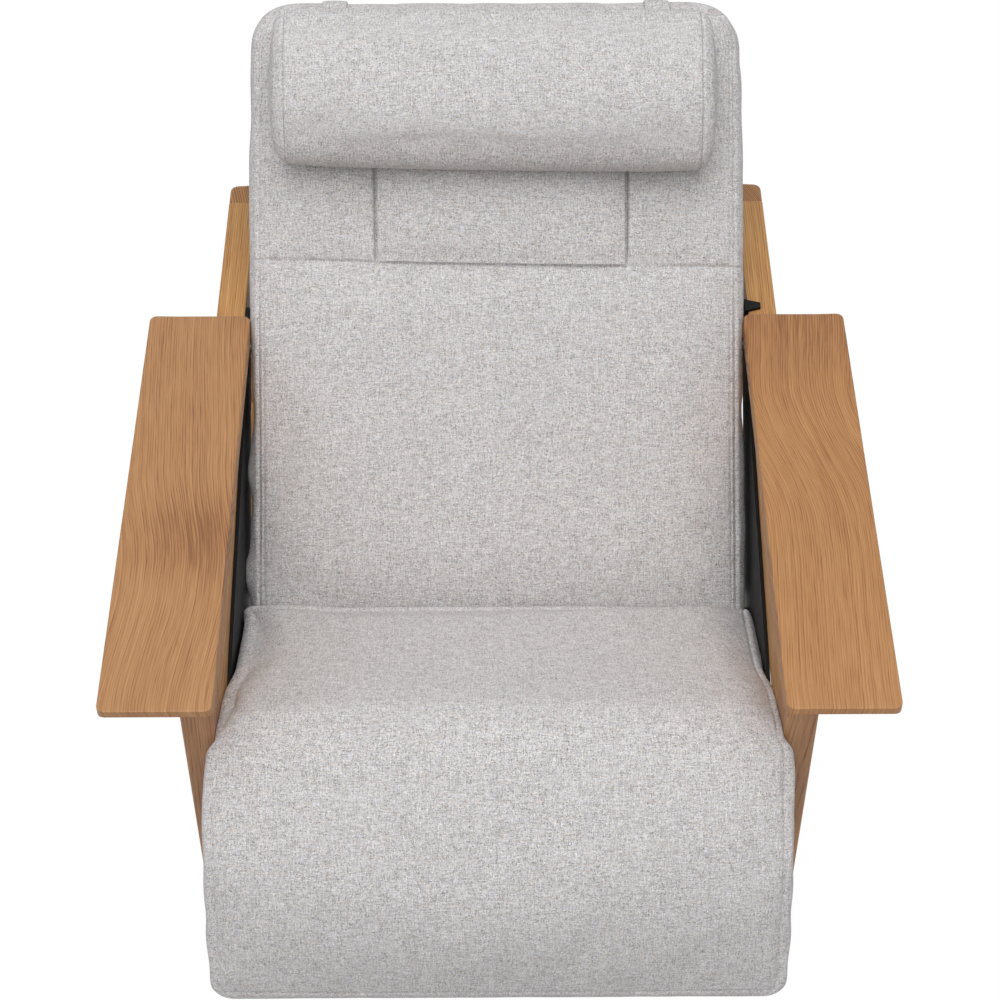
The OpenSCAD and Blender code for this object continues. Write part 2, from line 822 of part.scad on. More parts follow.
module back_rail() {
  difference() {
    across(rail_in, rail_out) {
      circle(hub_r);
      polygon([[rail_back_w, bar_top_u + bar_h], [rail_front_w, bar_top_u + bar_h],
               [rail_front_w, 3 * hub_r], [-0.7 * hub_r, 0], [0, -0.7 * hub_r],
               [rail_back_w, 4 * hub_r]]);
    }
    rod_x(rail_in - cut, rail_out + cut, 0, 0, pin_d + 2 * run_gap);
  }
}

module back_rail_left() { color(steel_black) back() sided(-1) back_rail(); }
module back_rail_right() { color(steel_black) back() sided(1) back_rail(); }

module back_cross_bars() {
  bar_x = rail_in - seat_gap;
  color(steel_black) back() {
    for (u = [bar_low_u, bar_top_u])
      block(-bar_x, bar_x, rail_front_w, rail_back_w, u, u + bar_h);
  }
}

shell_edge_u = shell_low + 6;
slot_hw = 90;
slot_low_u = 80;
slot_pitch = 14;
slot_h = 6;
slot_rows = 7;

module back_panel() {
  half = back_hw - cover_t - seat_gap;
  color(plastic_black) back() difference() {
    block(-half, half, panel_front_w, back_rear, shell_edge_u, cover_top_u - seat_gap);
    // Ventilation slots low on the panel
    for (i = [0 : slot_rows - 1])
      block(-slot_hw, slot_hw, panel_front_w - cut, back_rear + cut,
            slot_low_u + i * slot_pitch, slot_low_u + i * slot_pitch + slot_h);
  }
}

module back_side_cover() {
  block(back_hw - cover_t, back_hw, cushion_rear_w + seat_gap, back_rear,
        shell_edge_u, cover_top_u);
}

module back_side_cover_left() { color(fabric) back() sided(-1) back_side_cover(); }
module back_side_cover_right() { color(fabric) back() sided(1) back_side_cover(); }

// Outline of the back's top end, with rounded corners
module back_top2d(half, top, r) {
  intersection() {
    plate2d(-half, top - 200, half, top, r);
    translate([-half, cover_top_u + seat_gap]) square([2 * half, 200]);
  }
}

module back_top_cover() {
  color(fabric) back() translate([0, back_rear, 0]) rotate([90, 0, 0])
    linear_extrude(back_rear - cushion_rear_w - seat_gap) difference() {
      back_top2d(back_hw, back_top, back_corner_r);
      back_top2d(back_hw - cover_t, back_top - cover_t, back_corner_r - cover_t);
    }
}

// Half-width of the back cushion at height u, round at its top corners
function back_half_width(u) =
  let (over = max(0, u - (back_top - back_corner_r)))
    back_hw - back_corner_r + sqrt(max(0, pow(back_corner_r, 2) - pow(over, 2)));

// Depth of the back cushion's front face below its crown
function back_face(x, u) =
  let (across_back = bulge(x / back_hw, 5),
       up_back = bulge((2 * u - cushion_low - back_top) / (back_top - cushion_low), 9),
       seam = 3 * exp(-pow((u - seam_u) / 4, 2)))
    -cushion_edge_w - back_crown * across_back * up_back + seam;

// How far the cushion's heel is thinned to clear the recline hinge
cushion_heel = 11;

back_rows_u = concat(
  [for (t = [0 : 0.125 : 0.875]) cushion_low + (seam_u - 8 - cushion_low) * sin(90 * t)],
  [seam_u - 8, seam_u - 4, seam_u, seam_u + 4, seam_u + 8],
  [for (t = [0.125 : 0.125 : 1]) seam_u + 8 + (back_top - seam_u - 8) * sin(90 * t)]
);

module back_cushion() {
  columns = rows(19);
  pinch = 4;
  front = [
    for (u = back_rows_u)
      let (waist = pinch * bulge((2 * u - cushion_low - back_top) / (back_top - cushion_low), 2))
        [for (c = columns)
          let (x = c * (back_half_width(u) - waist * 0.5)) [x, back_face(x, u), u]]
  ];
  rear = [
    for (u = back_rows_u)
      let (tuck_in = cushion_heel * (1 - smooth((u - cushion_low) / (shell_low - cushion_low))))
        [for (c = columns) [c * (back_half_width(u) - 1), cushion_rear_w - tuck_in, u]]
  ];
  color(fabric) back() cushion(front, rear, 4, [0, -25, (cushion_low + back_top) / 2]);
}

flap_t = 4;
flap_lift = seat_gap + 0.6;
flap_low = seam_u + 8;
flap_top = 600;

module shoulder_flap() {
  columns = rows(9);
  heights = [for (c = rows(9)) (flap_low + flap_top) / 2 + c * (flap_top - flap_low) / 2];
  front = [
    for (u = heights)
      [for (c = columns)
        let (x = c * (flap_w / 2 - 1), edge = 0.35 + 0.65 * bulge(c, 8))
          [x, back_face(x, u) - flap_lift - flap_t * edge, u]]
  ];
  rear = [
    for (u = heights)
      [for (c = columns) let (x = c * flap_w / 2) [x, back_face(x, u) - flap_lift, u]]
  ];
  color(fabric) back() cushion(front, rear, 1, [0, -64, (flap_low + flap_top) / 2]);
}

pillow_rear_w = -cushion_edge_w - back_crown - flap_lift - flap_t - seat_gap;
pillow_low = back_top - 184;
strap_front_w = pillow_rear_w + seat_gap + strap_t;

// Band of even thickness along a line of points, with mitred corners
module ribbon2d(points, thick) {
  n = len(points);
  function normal(i) = let (d = points[i + 1] - points[i]) [-d[1], d[0]] / norm(d);
  mitres = [
    for (i = [0 : n - 1])
      let (a = normal(max(0, i - 1)), b = normal(min(n - 2, i))) (a + b) / (1 + a * b) * thick
  ];
  polygon(concat(points, [for (i = [n - 1 : -1 : 0]) points[i] + mitres[i]]));
}

module pillow_straps() {
  over = back_top + 2 * seat_gap;
  route = [
    [strap_front_w, pillow_low + 30], [strap_front_w, back_top - 52],
    [strap_front_w + 6, back_top - 22], [-cushion_edge_w - 9, over - 7],
    [-cushion_edge_w - 3.5, over - 1], [-cushion_edge_w, over],
    [back_rear + seat_gap, over], [back_rear + seat_gap, back_top - 90]
  ];
  color(plastic_black) back() for (side = [-1, 1]) sided(side)
    across((strap_pitch - strap_w) / 2, (strap_pitch + strap_w) / 2) ribbon2d(route, strap_t);
}

// Ring of the pillow's section, flat at the back and round at the front
function pillow_ring(x, scale, n) = [
  for (i = [0 : n - 1])
    let (a = 360 * i / n, c = cos(a), s = sin(a),
         front = pillow_t * 0.72, back = pillow_t * 0.28,
         depth = c > 0 ? front * pow(c, 0.9) : -back * pow(-c, 0.35),
         height = pillow_h / 2 * sign(s) * pow(abs(s), 0.8))
      [x, pillow_rear_w - back - depth * scale, pillow_low + pillow_h / 2 + height * scale]
];

module head_pillow() {
  n = 26;
  slices = 19;
  rings = [
    for (t = rows(slices))
      let (scale = t == -1 || t == 1 ? 0.42 : pow(1 - pow(abs(t), 9), 0.42))
        pillow_ring(t * pillow_w / 2, max(scale, 0.42), n)
  ];
  points = [for (ring = rings) each ring];
  ends = [for (side = [-1, 1])
    [side * (pillow_w / 2 + 1), pillow_rear_w - pillow_t * 0.4, pillow_low + pillow_h / 2]];
  size = slices * n;
  color(fabric) back() polyhedron(
    points = concat(points, ends),
    faces = concat(
      [for (k = [0 : slices - 2], i = [0 : n - 1])
        let (a = k * n + i, b = k * n + (i + 1) % n)
          each [[a, b, b + n], [a, b + n, a + n]]],
      [for (i = [0 : n - 1]) [size, (i + 1) % n, i]],
      [for (i = [0 : n - 1])
        [size + 1, (slices - 1) * n + i, (slices - 1) * n + (i + 1) % n]]
    )
  );
}

// ----------------------------------------------------------- massage unit

foot_inset = 10;
foot_h = 30;
foot_lap = 13;

module guide_rail() {
  difference() {
    block(guide_out - guide_w, guide_out, guide_front_w, guide_front_w + guide_d,
          guide_low_u, guide_high_u);
    block(guide_out - guide_w - cut, guide_out - guide_wall, guide_front_w + guide_wall,
          guide_front_w + guide_d - guide_wall, guide_low_u - cut, guide_high_u + cut);
  }
  // Feet that bolt the rail behind the side bar
  for (u = [guide_low_u + foot_inset, guide_high_u - foot_inset - foot_h])
    block(guide_out - lap, rail_in + foot_lap, guide_front_w, guide_front_w + guide_wall,
          u, u + foot_h);
}

module guide_rail_left() { color(steel_bright) back() sided(-1) guide_rail(); }
module guide_rail_right() { color(steel_bright) back() sided(1) guide_rail(); }

motor_low_u = bar_low_u + bar_h + seat_gap;
motor_top_u = motor_low_u + 34;
bearing_t = 14;
bearing_low_u = motor_top_u + seat_gap;
bearing_high_u = guide_high_u - bearing_t;
screw_high = guide_high_u + 4;

bearing_hw = 18;
hanger_hw = 14;
hanger_t = 4;
hanger_foot_t = 14;

module screw_bearings() {
  color(steel_black) back() {
    for (u = [bearing_low_u, bearing_high_u]) difference() {
      block(-bearing_hw, bearing_hw, rail_back_w + seat_gap, panel_front_w - seat_gap,
            u, u + bearing_t);
      translate([0, screw_w, u - cut]) cylinder(h = bearing_t + 2 * cut, d = screw_d + 2 * run_gap);
    }
    // Bracket that hangs the upper bearing from the top cross bar
    block(-hanger_hw, hanger_hw, rail_back_w - hanger_t, rail_back_w + seat_gap + lap,
          bearing_high_u, bar_top_u - seat_gap);
    block(-hanger_hw, hanger_hw, rail_front_w + hanger_t, rail_back_w,
          bar_top_u - hanger_foot_t, bar_top_u - seat_gap);
  }
}

motor_hw = 32;
motor_base_hw = 40;
screw_socket = 12;

module screw_motor() {
  color(plastic_black) back() difference() {
    union() {
      block(-motor_hw, motor_hw, rail_front_w, panel_front_w - seat_gap, motor_low_u, motor_top_u);
      // Base that hangs behind the lower cross bar
      block(-motor_base_hw, motor_base_hw, rail_back_w + seat_gap, panel_front_w - seat_gap,
            bar_low_u + 4, motor_low_u + lap);
    }
    translate([0, screw_w, motor_low_u + screw_socket])
      cylinder(h = motor_top_u - motor_low_u, d = screw_d + 2 * run_gap);
  }
}

module lead_screw() {
  start = motor_low_u + screw_socket + 1;
  color(steel_bright) back() translate([0, screw_w, start])
    cylinder(h = screw_high - start, d = screw_d);
}

plate_hw = guide_out - guide_w - 4;
plate_front_w = panel_front_w - 5;
plate_thick = 3;
plate_half_u = 70;
plate_hole_x = 110;
plate_hole_d = 40;
shoe_low = [-60, 40];
shoe_h = 28;
ear_h = 20;
ear_t = 3;
nut_hw = 16;
nut_low_u = -66;
nut_h = 32;
arm_x = arm_pitch / 2;
case_half = 58;
case_low_u = -28;
case_high_u = 44;
case_motor_x = 40;
case_motor_d = 32;
case_motor_len = 54;

module carriage_plate() {
  color(steel_bright) carriage() {
    difference() {
      block(-plate_hw, plate_hw, plate_front_w, plate_front_w + plate_thick,
            -plate_half_u, plate_half_u);
      for (x = [-plate_hole_x, plate_hole_x])
        translate([x, plate_front_w - cut, 0]) rotate([-90, 0, 0])
          cylinder(h = plate_thick + 2 * cut, d = plate_hole_d);
    }
    // Ears that hold the sliding shoes
    for (side = [-1, 1], u = shoe_low) sided(side)
      block(plate_hw - ear_t, plate_hw, screw_w - 6, plate_front_w + lap, u, u + ear_h);
  }
}

module carriage_shoes() {
  color("white") carriage() for (side = [-1, 1], u = shoe_low) sided(side)
    block(plate_hw + seat_gap, guide_out - guide_wall - 0.5, screw_w - shoe_d / 2,
          screw_w + shoe_d / 2, u - (shoe_h - ear_h) / 2, u + (shoe_h + ear_h) / 2);
}

module screw_nut() {
  color(plastic_black) carriage() difference() {
    block(-nut_hw, nut_hw, screw_w - 12, plate_front_w - seat_gap, nut_low_u, nut_low_u + nut_h);
    translate([0, screw_w, nut_low_u - cut]) cylinder(h = nut_h + 2 * cut, d = screw_d + 2 * run_gap);
  }
}

module gear_case() {
  color(plastic_black) carriage() difference() {
    union() {
      block(-case_half, case_half, shaft_w - 16, plate_front_w - seat_gap,
            case_low_u, case_high_u);
      // Housing bulge around the kneading shaft
      block(-case_half, case_half, shaft_w - 24, shaft_w - 15, shaft_u - 14, shaft_u + 14);
    }
    rod_x(-case_half - cut, case_half + cut, shaft_w, shaft_u, shaft_d + 2 * run_gap);
    translate([0, screw_w, case_low_u - cut])
      cylinder(h = case_high_u - case_low_u + 2 * cut, d = screw_d + 3);
  }
}

// Motor that hangs under the gear case beside the screw
module case_motor() {
  top = case_low_u - seat_gap;
  translate([case_motor_x, shaft_w + 10, 0]) {
    translate([0, 0, top - case_motor_len]) cylinder(h = case_motor_len, d = case_motor_d);
    translate([0, 0, top - case_motor_len - 5]) cylinder(h = 5 + lap, d = case_motor_d / 2);
  }
}

module knead_motor() { color(steel_bright) carriage() sided(1) case_motor(); }
module tap_motor() { color(steel_bright) carriage() sided(-1) case_motor(); }

module knead_shaft() {
  reach = arm_x + arm_plate_t + 6;
  color(steel_bright) carriage() {
    rod_x(-reach, reach, shaft_w, shaft_u, shaft_d);
    for (side = [-1, 1]) sided(side)
      rod_x(reach, reach + 4, shaft_w, shaft_u, shaft_d + 8);
  }
}

head_pin_d = 8;

// Head pin places relative to the shaft, as depth and height
function head_place(up) =
  let (forward = shaft_w - head_w_axis) [-forward, up * sqrt(pow(head_reach, 2) - pow(forward, 2))];

module massage_arm() {
  translate([0, shaft_w, shaft_u]) {
    difference() {
      across(arm_x, arm_x + arm_plate_t) {
        for (up = [-1, 1]) {
          translate(head_place(up)) circle(arm_eye_r);
          bar2d([0, 0], head_place(up), arm_eye_r);
        }
        circle(arm_hub_r);
      }
      rod_x(arm_x - cut, arm_x + arm_plate_t + cut, 0, 0, shaft_d + 2 * run_gap);
    }
    for (up = [-1, 1])
      rod_x(arm_x - head_w - 4, arm_x + lap, head_place(up)[0], head_place(up)[1], head_pin_d);
  }
}

module massage_arm_left() { color(steel_black) carriage() sided(-1) massage_arm(); }
module massage_arm_right() { color(steel_black) carriage() sided(1) massage_arm(); }

// Rubber-tyred wheel with a round tread
module massage_head(up) {
  place = head_place(up);
  crown_r = head_w * 0.55;
  translate([arm_x - 1.5, shaft_w + place[0], shaft_u + place[1]]) rotate([0, -90, 0])
    rotate_extrude() difference() {
      intersection() {
        translate([head_pin_d / 2 + run_gap, 0])
          square([head_d / 2 - head_pin_d / 2 - run_gap, head_w]);
        translate([head_d / 2 - crown_r, head_w / 2]) {
          circle(crown_r);
          translate([-head_d / 2, -crown_r]) square([head_d / 2, 2 * crown_r]);
        }
      }
      translate([0, -cut]) square([head_pin_d / 2 + run_gap, head_w + 2 * cut]);
    }
}

module upper_head_left() { color(plastic_black) carriage() sided(-1) massage_head(1); }
module upper_head_right() { color(plastic_black) carriage() sided(1) massage_head(1); }
module lower_head_left() { color(plastic_black) carriage() sided(-1) massage_head(-1); }
module lower_head_right() { color(plastic_black) carriage() sided(1) massage_head(-1); }

// --------------------------------------------------------------- leg rest

board_front = -leg_inner_r + seat_gap;
leg_board_low = -leg_len + 6;

module leg_rest_arms() {
  color(steel_black) leg_rest() for (side = [-1, 1]) sided(side) difference() {
    across(leg_plate_out - leg_plate_t, leg_plate_out) {
      circle(hub_r - 2);
      polygon([[10, 0], [10, leg_board_low + 10], [0, leg_board_low], [board_front, leg_board_low],
               [board_front, -8], [-8, 0]]);
    }
    rod_x(leg_plate_out - leg_plate_t - cut, leg_plate_out + cut, 0, 0, pin_d + 2 * run_gap);
  }
}

module leg_rest_board() {
  half = leg_plate_out - leg_plate_t - seat_gap;
  color(plywood) leg_rest() block(-half, half, board_front, board_front + board_t,
                                  leg_board_low, -26);
}

// Ribs from the top of the roll, round it and down the pad: outer and inner points
function leg_ribs(k, n) = concat(
  [for (i = [0 : k - 1])
    let (a = leg_roll_top * (1 - i / k))
      [[-leg_roll_r * cos(a), leg_roll_r * sin(a)], [-leg_inner_r * cos(a), leg_inner_r * sin(a)]]],
  [for (t = rows(n)) let (u = -leg_len * (1 + t) / 2) [[-leg_roll_r, u], [-leg_inner_r, u]]]
);

// Point on the leg rest cushion's face: fall rounds its sides, rib is [depth, height]
function leg_face(rib, c, half) =
  let (down = max(0, -rib[1] / leg_len), on_pad = rib[1] < 0,
       crown = on_pad ? leg_crown * bulge(2 * down - 1, 2) * bulge(c, 4) : 0,
       tip = leg_end_round * pow(down, 10),
       fall = pow(abs(c), 8) * (on_pad ? 8 : 4),
       keep = on_pad ? 1 : 1 - fall / norm(rib))
    [-c * half, rib[0] * keep - crown + tip + (on_pad ? fall : 0), rib[1] * keep];

// Half-width of the leg rest cushion, narrower towards its end
function leg_half_width(rib) = leg_hw - 18 * pow(max(0, -rib[1] / leg_len), 14);

module leg_rest_cushion() {
  ribs = leg_ribs(7, 11);
  columns = rows(15);
  front = [
    for (rib = ribs)
      [for (c = columns) leg_face(rib[0], c, leg_half_width(rib[0]) - 2)]
  ];
  rear = [
    for (rib = ribs)
      [for (c = columns) [-c * (leg_half_width(rib[0]) - 6), rib[1][0], rib[1][1]]]
  ];
  color(fabric) leg_rest() cushion(front, rear, 2, [0, -34, -60]);
}

armrest_left();
armrest_right();
front_leg_left();
front_leg_right();
rear_leg_left();
rear_leg_right();
top_rail_left();
top_rail_right();
lower_rail_left();
lower_rail_right();
front_cross_rail();
rear_cross_rail();
wood_dowels();
foot_glides();
side_plate_left();
side_plate_right();
cross_tubes();
plate_bolts();
pivot_pins();
seat_board();
seat_cushion();
control_box();
power_inlet();
leg_rest_motor();
recline_actuator();
recline_rod();
recline_lever();
back_rail_left();
back_rail_right();
back_cross_bars();
back_panel();
back_side_cover_left();
back_side_cover_right();
back_top_cover();
back_cushion();
shoulder_flap();
pillow_straps();
head_pillow();
guide_rail_left();
guide_rail_right();
screw_bearings();
screw_motor();
lead_screw();
carriage_plate();
carriage_shoes();
screw_nut();
gear_case();
knead_motor();
tap_motor();
knead_shaft();
massage_arm_left();
massage_arm_right();
upper_head_left();
upper_head_right();
lower_head_left();
lower_head_right();
leg_rest_arms();
leg_rest_board();
leg_rest_cushion();
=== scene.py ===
"""Looks of the massage chair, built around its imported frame.

Shapes are in millimetres until a mesh is made, and materials are in metres.
"""
import json
import math

import bpy
import numpy as np
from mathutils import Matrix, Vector
from mathutils.bvhtree import BVHTree


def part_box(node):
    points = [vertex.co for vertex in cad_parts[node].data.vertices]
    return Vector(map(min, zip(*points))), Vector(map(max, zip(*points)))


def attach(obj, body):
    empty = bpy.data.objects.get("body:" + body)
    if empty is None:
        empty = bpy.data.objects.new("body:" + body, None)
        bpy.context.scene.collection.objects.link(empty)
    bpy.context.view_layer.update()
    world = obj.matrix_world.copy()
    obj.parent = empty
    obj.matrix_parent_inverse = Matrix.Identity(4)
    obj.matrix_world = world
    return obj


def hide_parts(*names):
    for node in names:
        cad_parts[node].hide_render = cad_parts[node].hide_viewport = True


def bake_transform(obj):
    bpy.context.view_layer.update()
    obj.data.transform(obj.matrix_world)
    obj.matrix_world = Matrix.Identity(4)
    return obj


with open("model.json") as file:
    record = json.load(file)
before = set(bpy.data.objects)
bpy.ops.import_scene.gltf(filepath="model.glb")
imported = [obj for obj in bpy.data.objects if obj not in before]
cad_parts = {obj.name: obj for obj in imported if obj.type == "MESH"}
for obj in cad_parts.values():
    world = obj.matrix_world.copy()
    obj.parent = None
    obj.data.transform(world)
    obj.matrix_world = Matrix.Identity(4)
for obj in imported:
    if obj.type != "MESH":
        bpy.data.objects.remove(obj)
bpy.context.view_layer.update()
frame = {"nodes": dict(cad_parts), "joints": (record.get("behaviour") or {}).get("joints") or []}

MM = 0.001


def box_mm(node):
    """Lowest and highest corner of a CAD node."""
    return [np.array(corner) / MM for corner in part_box(node)]


# Frames of the moving parts
JOINTS = {joint["name"]: joint for joint in frame["joints"]}
PIN = np.array(JOINTS["recline"]["pos_m"]) / MM
KNEE = np.array(JOINTS["leg_rest_tilt"]["pos_m"]) / MM
BACK_UP = np.array(JOINTS["carriage_travel"]["axis"])
BACK_AXES = np.array([[1, 0, 0], [0, BACK_UP[2], -BACK_UP[1]], BACK_UP])

# Side frames. EASE is the radius of the wood's edges
ARM_LOW, ARM_HIGH = box_mm("armrest_right")
FRONT = ARM_LOW[1]
FRAME_TOP = ARM_LOW[2]
ARM_TOP = ARM_HIGH[2]
ARM_T = ARM_TOP - FRAME_TOP
ARM_EDGE_T = 9
ARM_BEVEL = 26
ARM_CORNER_R = 8
ARM_FACE_R = 1.8
EASE = 2.2
GLIDE_T = 6
FRONT_LEG_RAKE = 18
REAR_LEG_D = 31
REAR_LEG_GROWS = 21
REAR_LEG_STEP = 14
REAR_LEG_BEND_Z = 150
REAR_CORNER_R = 9.0
RAIL_FRONT_H, RAIL_REAR_H = 130, 62

# Backrest, in its own frame: half widths, heights up from the pin and depths rearwards of it
BACK_HW = 260
BACK_TOP = 645
BACK_LOW = -6
BACK_CORNER_R = 42
BACK_EDGE_W = -41
BACK_FACE_W = -33
BACK_MIDDLE_W = -24
BACK_REAR_W = -8
BACK_SHELL_W = 74
SHELL_LOW_U = 22
BACK_CROWN = 17.0
SEAM_IN = 10
STITCH_IN = 4.2
SEAM_U = 368
SEAM_REACH = 60
FLAP_X = 5.0
FLAP_HW = 129.5
FLAP_LOW, FLAP_TOP = 369.5, 600
FLAP_T = 4

# Head pillow and its straps
PILLOW_HW = 226
PILLOW_SEAM = 213
PILLOW_LOW, PILLOW_HIGH = 461, 627
PILLOW_FRONT, PILLOW_REAR = -142.2, -66.4
STRAP_X = 169
STRAP_HW = 13
STRAP_T = 2.6

# Seat and leg rest. The cover starts as a box of this half width and depth
SEAT_SLOPE = math.radians(22.5)
SEAT_PLACE = (311 + FRONT, 322)
SEAT_START = 14
LEG_TILT = math.radians(20.7)
LEG_LEN = 155
COVER_HW = 280
COVER_T = 75
PIPING_X = 270.5
HEM_IN = 11
PAD_CORNER_R = 24

# How far the loose sides of the back stand out, at which height and over what reach
LEFT_FOLDS = [(8.5, 45, 17), (3.5, 152, 14), (-3.5, 213, 24), (-2.0, 118, 12)]
RIGHT_FOLDS = [(1.2, 90, 20), (-1.5, 210, 30)]
ARM_PRESS = [(1.8, 262, 45)]
# How far the back's sides draw in, from which height on and over what length
LEFT_TAPER = [(2.5, 470, 60), (1.0, 570, 50)]
RIGHT_TAPER = [(1.5, 470, 60), (5.0, 550, 70)]
# Half width of the seat's cover between the frames, and its gains, counted forwards from the armrests' front
BETWEEN_HW = 264.6
FORWARD_WIDER = [(7.4, -185, 70), (5.5, -43.5, 10)]
UNDER_HW = 264.3
# Where the front legs begin behind the armrests' front, and the half width between them
LEG_START_A, BY_LEGS_HW = 43.5, 268.6


# ---- places

def back(points):
    """Places of points given as across, rearwards and up in the backrest's frame."""
    return PIN + points @ BACK_AXES


def turned(origin, forward, up, angle):
    """Depth and height of a point forwards and up from an origin, in a frame raised by an angle."""
    cos, sin = math.cos(angle), math.sin(angle)
    return (origin[0] - forward * cos + up * sin, origin[1] + forward * sin + up * cos)


def seat_point(along, up):
    """Place of a point on the seat, along it forwards and up from it."""
    return turned(SEAT_PLACE, along, up, SEAT_SLOPE)


def leg_point(w, u):
    """Place of a point rearwards and up in the leg rest's frame."""
    return turned(KNEE[1:], -w, u, LEG_TILT)


def around_knee(r, degrees):
    """Place of a point around the knee, with the angle raised from straight forward."""
    return turned(KNEE[1:], r, 0, math.radians(degrees))


def smooth(t):
    t = np.clip(t, 0, 1)
    return t * t * (3 - 2 * t)


def bulge(t, power):
    return 1 - np.minimum(np.abs(t), 1) ** power


def hump(value, middle, width):
    return np.exp(-(((value - middle) / width) ** 2))


def humps(value, rows):
    """Sum of humps, each given by its size, middle and width."""
    return sum(size * hump(value, middle, width) for size, middle, width in rows)


def slopes(value, rows):
    """Sum of smooth steps, each given by its size, start and length."""
    return sum(size * smooth((value - start) / length) for size, start, length in rows)


def lengths(path):
    """Running length at each point of a line."""
    return np.concatenate([[0], np.cumsum(np.linalg.norm(np.diff(path, axis=0), axis=1))])


def follow(at, run, path):
    """Both coordinates of a line at the given running lengths."""
    return np.stack([np.interp(at, run, path[:, k]) for k in range(2)], 1)


def beside(path):
    """Unit vectors square to a line, to the right of its direction."""
    ahead = np.gradient(path, axis=0)
    ahead /= np.linalg.norm(ahead, axis=1, keepdims=True)
    return np.stack([ahead[:, 1], -ahead[:, 0]], 1)


def smoothed_path(corners, spacing, softness):
    """Even points along a line of corners, rounded by a moving average. The ends stay."""
    corners = np.array(corners, float)
    run = lengths(corners)
    path = follow(np.linspace(0, run[-1], round(run[-1]) + 1), run, corners)
    span = int(3 * softness)
    kernel = np.exp(-0.5 * (np.arange(-span, span + 1) / softness) ** 2)
    kernel /= kernel.sum()
    longer = np.concatenate([2 * path[0] - path[span:0:-1], path, 2 * path[-1] - path[-2:-span - 2:-1]])
    path = np.stack([np.convolve(longer[:, k], kernel, "valid") for k in range(2)], 1)
    run = lengths(path)
    even = np.linspace(0, run[-1], round(run[-1] / spacing) + 1)
    return follow(even, run, path), even


# ---- meshes

def stations(low, high, spacing, edge=(), *dense):
    """Positions from low to high at about the spacing, with more at edge from both ends and in dense."""
    line = list(np.linspace(low, high, max(2, round((high - low) / spacing) + 1)))
    groups = (low + np.array(edge), high - np.array(edge), *dense)
    extra = sorted({round(float(v), 4) for group in groups for v in group if low < v < high})
    kept = [v for v in line if all(abs(v - e) > 0.45 * spacing for e in extra) or v in (low, high)]
    merged = np.array(sorted(set(kept) | set(extra)))
    keep = np.concatenate([[True], np.diff(merged) > 0.2])
    return merged[keep]


def lattice(lines):
    """Surface of a box divided at its three axes' stations: points, quads and each quad's axis."""
    counts = [len(line) for line in lines]
    grid = np.stack(np.meshgrid(*lines, indexing="ij"), axis=-1)
    shell = np.zeros(counts, bool)
    for axis in range(3):
        for end in (0, -1):
            np.moveaxis(shell, axis, 0)[end] = True
    ids = np.full(counts, -1)
    ids[shell] = np.arange(shell.sum())
    quads, axes = [], []
    for axis in range(3):
        layers = np.moveaxis(ids, [axis, (axis + 1) % 3, (axis + 2) % 3], [0, 1, 2])
        for end in (0, -1):
            a = layers[end]
            quad = np.stack([a[:-1, :-1], a[1:, :-1], a[1:, 1:], a[:-1, 1:]], -1).reshape(-1, 4)
            quads.append(quad[:, ::-1] if end == 0 else quad)
            axes.append(np.full(len(quad), axis))
    return grid[shell], np.concatenate(quads), np.concatenate(axes)


def rounded(points, low, high, radii):
    """Rounds the edges of a box by the radii, which may differ from point to point."""
    low, high = np.asarray(low, float), np.asarray(high, float)
    middle, half = (low + high) / 2, (high - low) / 2
    radii = np.broadcast_to(radii, points.shape)
    local = points - middle
    core = np.clip(local, -(half - radii), half - radii)
    away = (local - core) / radii
    length = np.maximum(np.linalg.norm(away, axis=1, keepdims=True), 1e-9)
    return middle + core + np.where(length > 0.999, away / length, away) * radii


def piece_from(name, points, quads, axes, flat, seam=None):
    """Mesh object from points in millimetres. flat holds each point's cloth coordinates."""
    a, b, c, d = (points[quads[:, k]] for k in range(4))
    volume = sum(np.einsum("ij,ij->i", a, np.cross(*pair)).sum() for pair in ((b, c), (c, d)))
    if volume < 0:
        quads = quads[:, ::-1]
    mesh = bpy.data.meshes.new(name)
    mesh.from_pydata((points * MM).tolist(), [], quads.tolist())
    corner = flat[quads]
    uv = np.stack([
        np.take_along_axis(corner, ((axes + step) % 3)[:, None, None].repeat(4, 1), 2)[..., 0]
        for step in (1, 2)
    ], -1)
    mesh.uv_layers.new(name="weave").data.foreach_set("uv", (uv * MM).astype(np.float32).ravel())
    if seam is not None:
        mesh.attributes.new("seam", "FLOAT", "POINT").data.foreach_set("value", seam.astype(np.float32))
    mesh.polygons.foreach_set("use_smooth", np.ones(len(quads), bool))
    mesh.update()
    made = bpy.data.objects.new(name, mesh)
    bpy.context.scene.collection.objects.link(made)
    return made


def read(items, field, width=3):
    """One field of a mesh's items, a row for each."""
    flat = np.zeros(len(items) * width, np.float32)
    items.foreach_get(field, flat)
    return flat.reshape(-1, width)


def coords(mesh):
    return read(mesh.vertices, "co").astype(float)


def set_coords(mesh, points):
    mesh.vertices.foreach_set("co", points.astype(np.float32).ravel())
    mesh.update()


def normals(mesh):
    return read(mesh.vertex_normals, "vector")


def subdivided(made):
    """Applies one level of subdivision to the piece."""
    made.modifiers.new("Subdivision", "SUBSURF").levels = 1
    bpy.context.view_layer.update()
    mesh = bpy.data.meshes.new_from_object(made.evaluated_get(bpy.context.evaluated_depsgraph_get()))
    made.modifiers.clear()
    old, made.data = made.data, mesh
    bpy.data.meshes.remove(old)
    mesh.name = made.name


def seam_value(distance, reach=8.0):
    """1 on a seam line, falling to 0 at reach from it."""
    return np.clip(1 - distance / reach, 0, 1)


def pinned(seam, weight, start=0.5, reach=0.4):
    """Pin weights of the cloth beside a seam."""
    return weight * smooth((seam - start) / reach)


